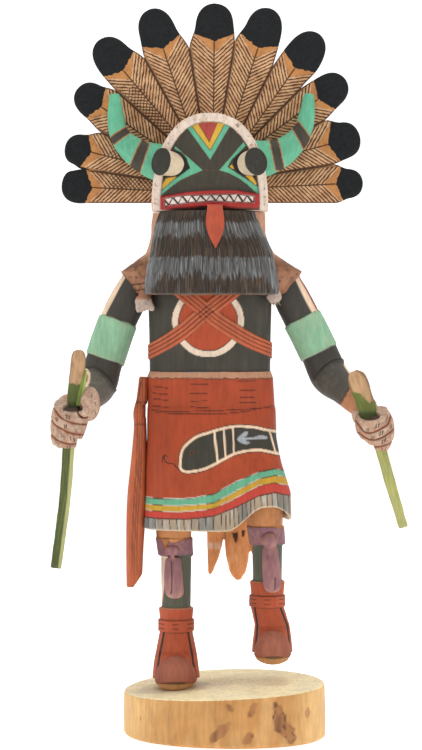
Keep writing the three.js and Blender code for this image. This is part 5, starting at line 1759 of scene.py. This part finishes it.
# ---------- sash and fox pelt ----------
def make_sash():
    hang = np.array([(-42, 158, 3, 6), (-42, 150, 3.3, 7), (-42.5, 138, 3.9, 8), (-43.6, 117, 4.9, 9),
                     (-44.6, 95, 4.4, 9.2), (-45, 73, 3.8, 9.2)])  # x, height, half width, half depth
    shapes = [
        bar([(-40, 1, 178.4), (-40.4, 1, 172), (-41.2, 1, 165.4)], [(2.4, 4.6), (2.8, 6.2), (2.8, 6.2)], 36,
            24, 2.3),
        bar([(-41.6, 1, 166.4), (-42.3, 1, 160.4), (-42.4, 1, 154.4)], [(2.4, 5.8), (3.1, 7.2), (2.6, 7)],
            36, 30, 2.4),
        bar([(x, 1, z) for x, z, _, _ in hang], hang[:, 2:], 44, 120, 3.2),
    ]
    obj = fuse("sash_carved", shapes, 0.5)
    p, n = points_of(obj), normals_of(obj)
    u = p[:, 0] - np.interp(p[:, 2], hang[::-1, 1], hang[::-1, 0]) + 0.15 * noise(p * [0, 0, 1], 9, 161)
    cuts = sum(ridge_line(u - at, 0.4) for at in (-1.1, 0.1, 1.3)) * (p[:, 1] < -3)
    side_cuts = sum(ridge_line(p[:, 1] - at, 0.5) for at in (-4, 0, 4, 7)) * (np.abs(n[:, 0]) > 0.6)
    cuts = np.clip(cuts + side_cuts, 0, 1)
    fade = smooth(-0.75, 0.0, noise(p * [1, 1, 0.4], 9, 162))
    moved = p - n * (0.3 * cuts * fade)[:, None]
    foot = 73.8 + 1.42 * np.maximum(p[:, 0] + 45.2, 0)  # flat, then cut off aslant
    moved[:, 2] = np.maximum(moved[:, 2], foot)
    move_points(obj, moved)
    paint = Paint(p, rgb(176, 92, 58))
    paint.patches(0.45, (-0.1, 0.8), 3, 163, rgb(190, 108, 74), [1, 1, 0.25])
    paint.where(smooth(0.2, 0.7, cuts * fade), rgb(108, 62, 46))
    paint.where(smooth(0.5, 0.1, np.abs(u - 0.2)) * fade * smooth(168, 160, p[:, 2]) * 0.35,
                rgb(120, 82, 68))
    # Painted shade in the creases where the sash's bulges meet.
    for height in (165.8, 154.8):
        paint.where(smooth(0.8, 0.2, np.abs(p[:, 2] - height)) * 0.6, rgb(104, 54, 40))
    dress(obj, PAINTED, ["sash"], paint.colour)


def make_pelt():
    y = 25.0
    shapes = [
        bar([(4, y - 2, 176), (4, y, 160), (4.4, y + 2, 140), (5, y + 2.5, 118), (6, y + 1.5, 104)],
            [(8, 2.2), (11, 2.8), (13, 3.2), (13.6, 3.2), (11, 2.8)], 48, 90),
        bar([(6.4, y + 1.6, 112), (7, y + 1, 98), (7.0, y, 88), (7.3, y - 0.2, 79), (7.4, y - 0.2, 74.2)],
            [(6, 2.8), (6.7, 3.2), (6, 3), (4.2, 2.4), (1.2, 0.9)], 36, 70),
        bar([(-4.0, y + 1.4, 112), (-4.4, y + 1, 98), (-5.2, y, 88), (-7.0, y, 77)],
            [(4.4, 2.4), (4.3, 2.6), (3.2, 2.3), (0.9, 0.8)], 30, 60),
        bar([(18.8, y + 1.4, 112), (18, y + 1, 96), (17.6, y, 88), (18, y, 84)],
            [(4.4, 2.4), (4.5, 2.6), (3.2, 2.2), (1, 0.9)], 30, 60),
    ]
    obj = fuse("pelt_carved", shapes, 0.66)
    p, n = points_of(obj), normals_of(obj)
    fur = noise(p * [1, 1, 0.22], 1.1, 171)
    move_points(obj, p + n * (0.22 * fur + 0.3 * noise(p, 6, 172))[:, None])
    paint = Paint(p, rgb(236, 160, 102))
    paint.where(smooth(-0.1, 0.7, fur) * 0.35, rgb(212, 130, 80))
    paint.patches(0.4, (0.2, 0.8), 1.6, 173, rgb(246, 192, 142), [1, 1, 0.3])
    q = flat(p)
    near = p[:, 1] < y
    paint.patches(0.75, (-0.6, 0.2), 1, 174, rgb(236, 206, 182), [1, 1, 0.4],
                  within=(p[:, 0] < 1) * smooth(89.4, 90.4, p[:, 2]) * smooth(94, 92.6, p[:, 2]))
    paint.patches(0.6, (0, 0.6), 1, 175, rgb(240, 214, 190),
                  within=(np.abs(p[:, 0] + 0.5) < 2.5) * smooth(95, 97, p[:, 2]))
    for mark in ([(4, 98.2), (7.4, 98.8), (7, 94), (6, 93)],
                 [(9.2, 99.6), (11, 99.4), (10.4, 96.4), (9.4, 96)]):
        paint.where(near * soft_step(shape_distance(q, mark) + 0.2 * noise(p, 1, 176)), rgb(72, 46, 36))
    seam = ridge_line(p[:, 0] - 0.4 - 0.05 * (100 - p[:, 2]), 0.6) * (p[:, 2] > 95)
    paint.where(seam * 0.7, rgb(120, 66, 40))
    dress(obj, PAINTED, ["fox_pelt"], paint.colour)


# ---------- base ----------
def base_top(x):
    return mix(21.6, 26.7, (x + 50) / 100)


KNOTS = [  # x, height, half width, half height, lean, darkness
    (26.6, 14.6, 3.2, 8.4, -0.12, 1.0), (31.6, 6.6, 3.2, 5.6, -0.25, 0.9),
    (13.6, 18.8, 1.9, 3.8, 0.3, 0.85), (11.4, 5.2, 2.4, 3.6, 0.2, 0.8), (-2.2, 8.2, 3.6, 4.8, 0.8, 0.9),
    (2.4, 20.4, 1.6, 2.4, -0.5, 0.8), (-41.2, 11.4, 0.5, 1.1, 0, 0.9), (40.5, 16, 1.4, 3, 0.1, 0.7),
    (-24, 5, 1.0, 2.6, 0.3, 0.35),
]


def make_base():
    count = 320
    a = np.linspace(0, 2 * np.pi, count, endpoint=False)
    x = 50 * np.cos(a)
    y = 52 * np.sin(a) + 3 - 7 * np.cos(a) ** 2 - 4.5 * np.cos(a)

    def ring(scale, height):
        return np.stack([x * scale, y * scale, height + 0 * x], -1)

    rings = [ring(0.02, 0.0), ring(0.5, 0.0), ring(0.96, 0.0), ring(0.98, 0.25), ring(0.995, 0.9)]
    top = base_top(x)
    for t in np.linspace(0.06, 0.95, 50):
        rings.append(ring(1 + 0.004 * math.sin(math.pi * t), top * t))
    rings += [ring(0.998, top * 0.975), ring(0.993, top * 0.992), ring(0.985, top)]
    for s in np.linspace(0.975, 0.02, 40):
        rings.append(ring(s, base_top(x * s)))
    obj, p, n = carve("root_slice", *loft(rings))
    on_top = n[:, 2] > 0.7
    on_side = np.abs(n[:, 2]) < 0.7
    grain = noise(p * [1, 1, 0.12], 1.6, 181)
    flatten = noise(p * [1, 1, 0.35], 14, 182)
    lift = np.where(on_side, 0.16 * grain + 0.5 * flatten, 0.05 * grain)
    knots = np.zeros(len(p))
    cracks = np.zeros(len(p))
    for kx, kz, wide, tall, lean, dark in KNOTS:
        u = p[:, 0] - kx - lean * (p[:, 2] - kz)
        d = np.hypot(u / wide, (p[:, 2] - kz) / tall) + 0.28 * noise(p, 2.2, 183 + int(abs(kx)))
        knots = np.maximum(knots, dark * soft_step(d - 0.95, 0.35) * on_side * (p[:, 1] < 0))
        ringed = soft_step(np.abs(d - 0.78) - 0.08, 0.12) * smooth(-0.4, 0.4, noise(p, 2.4, 190))
        cracks = np.maximum(cracks, dark * ringed * (tall > 5) * on_side * (p[:, 1] < 0))
    lift -= 0.3 * cracks + 0.2 * knots
    move_points(obj, p + n * lift[:, None])
    radius = np.hypot(p[:, 0] - 8, (p[:, 1] - 6) * 0.9) + 2.2 * noise(p, 18, 191)
    rings_of_growth = 0.5 + 0.5 * np.sin(radius * 2.2)
    paint = Paint(p, rgb(194, 146, 90))
    side_tone = smooth(-0.4, 0.7, noise(p * [1, 1, 0.3], 9, 192))
    paint.where(on_side * side_tone * 0.6, rgb(186, 130, 76))
    paint.where(on_side * smooth(0.1, 0.8, grain) * 0.35, rgb(168, 112, 64))
    paint.patches(0.4, (0.2, 0.9), 4, 193, rgb(226, 186, 130), [1, 1, 0.2], within=on_side)
    # Painted highlights towards both ends of the side, where the side lamps fall.
    ends = smooth(30, 46, np.abs(p[:, 0]))
    paint.where(on_side * ends * 0.5, rgb(240, 202, 140))
    paint.where(knots * 0.75, rgb(150, 100, 66))
    paint.patches(0.65, (-0.2, 0.7), 2.4, 194, rgb(100, 66, 46), [1, 1, 0.35],
                  within=smooth(0.35, 0.8, knots))
    paint.where(smooth(0.1, 0.8, cracks) * 0.75, rgb(66, 44, 33))
    # The top is painted pale cream: partly the cut face's own paler wood, partly painted light from above.
    cream = rgb(255, 240, 196)
    paint.where(on_top, cream)
    paint.where(on_top * smooth(0.55, 0.95, rings_of_growth) * 0.22, rgb(206, 164, 112))
    paint.patches(0.3, (0.2, 0.9), 7, 195, rgb(222, 188, 140), within=on_top)
    paint.patches(0.3, (0.5, 0.9), 2, 196, rgb(190, 150, 104), [3, 1, 1], within=on_top)
    # Darker round the right boot's foot on the top, and in a patch to its left.
    boot = np.hypot((p[:, 0] + 25) / 14.5, p[:, 1] / 17.5)
    round_boot_foot = smooth(1.35, 1.0, boot + 0.2 * noise(p, 3, 197)) * on_top
    left_patch = np.exp(-(((p[:, 0] + 38) / 9) ** 2) - ((p[:, 1] + 12) / 9) ** 2) * on_top
    paint.where(np.clip(round_boot_foot * 0.7 + left_patch, 0, 1) * 0.75, rgb(196, 180, 150))
    dress(obj, PAINTED, ["base"], paint.colour)


make_mask()
make_beard()
make_tongue()
make_cape()
make_sash()
make_pelt()
make_base()
for side in ("right", "left"):
    make_eye(side)
    make_horn(side)
    make_arm(side)
    make_fist(side)
    make_whip(side)
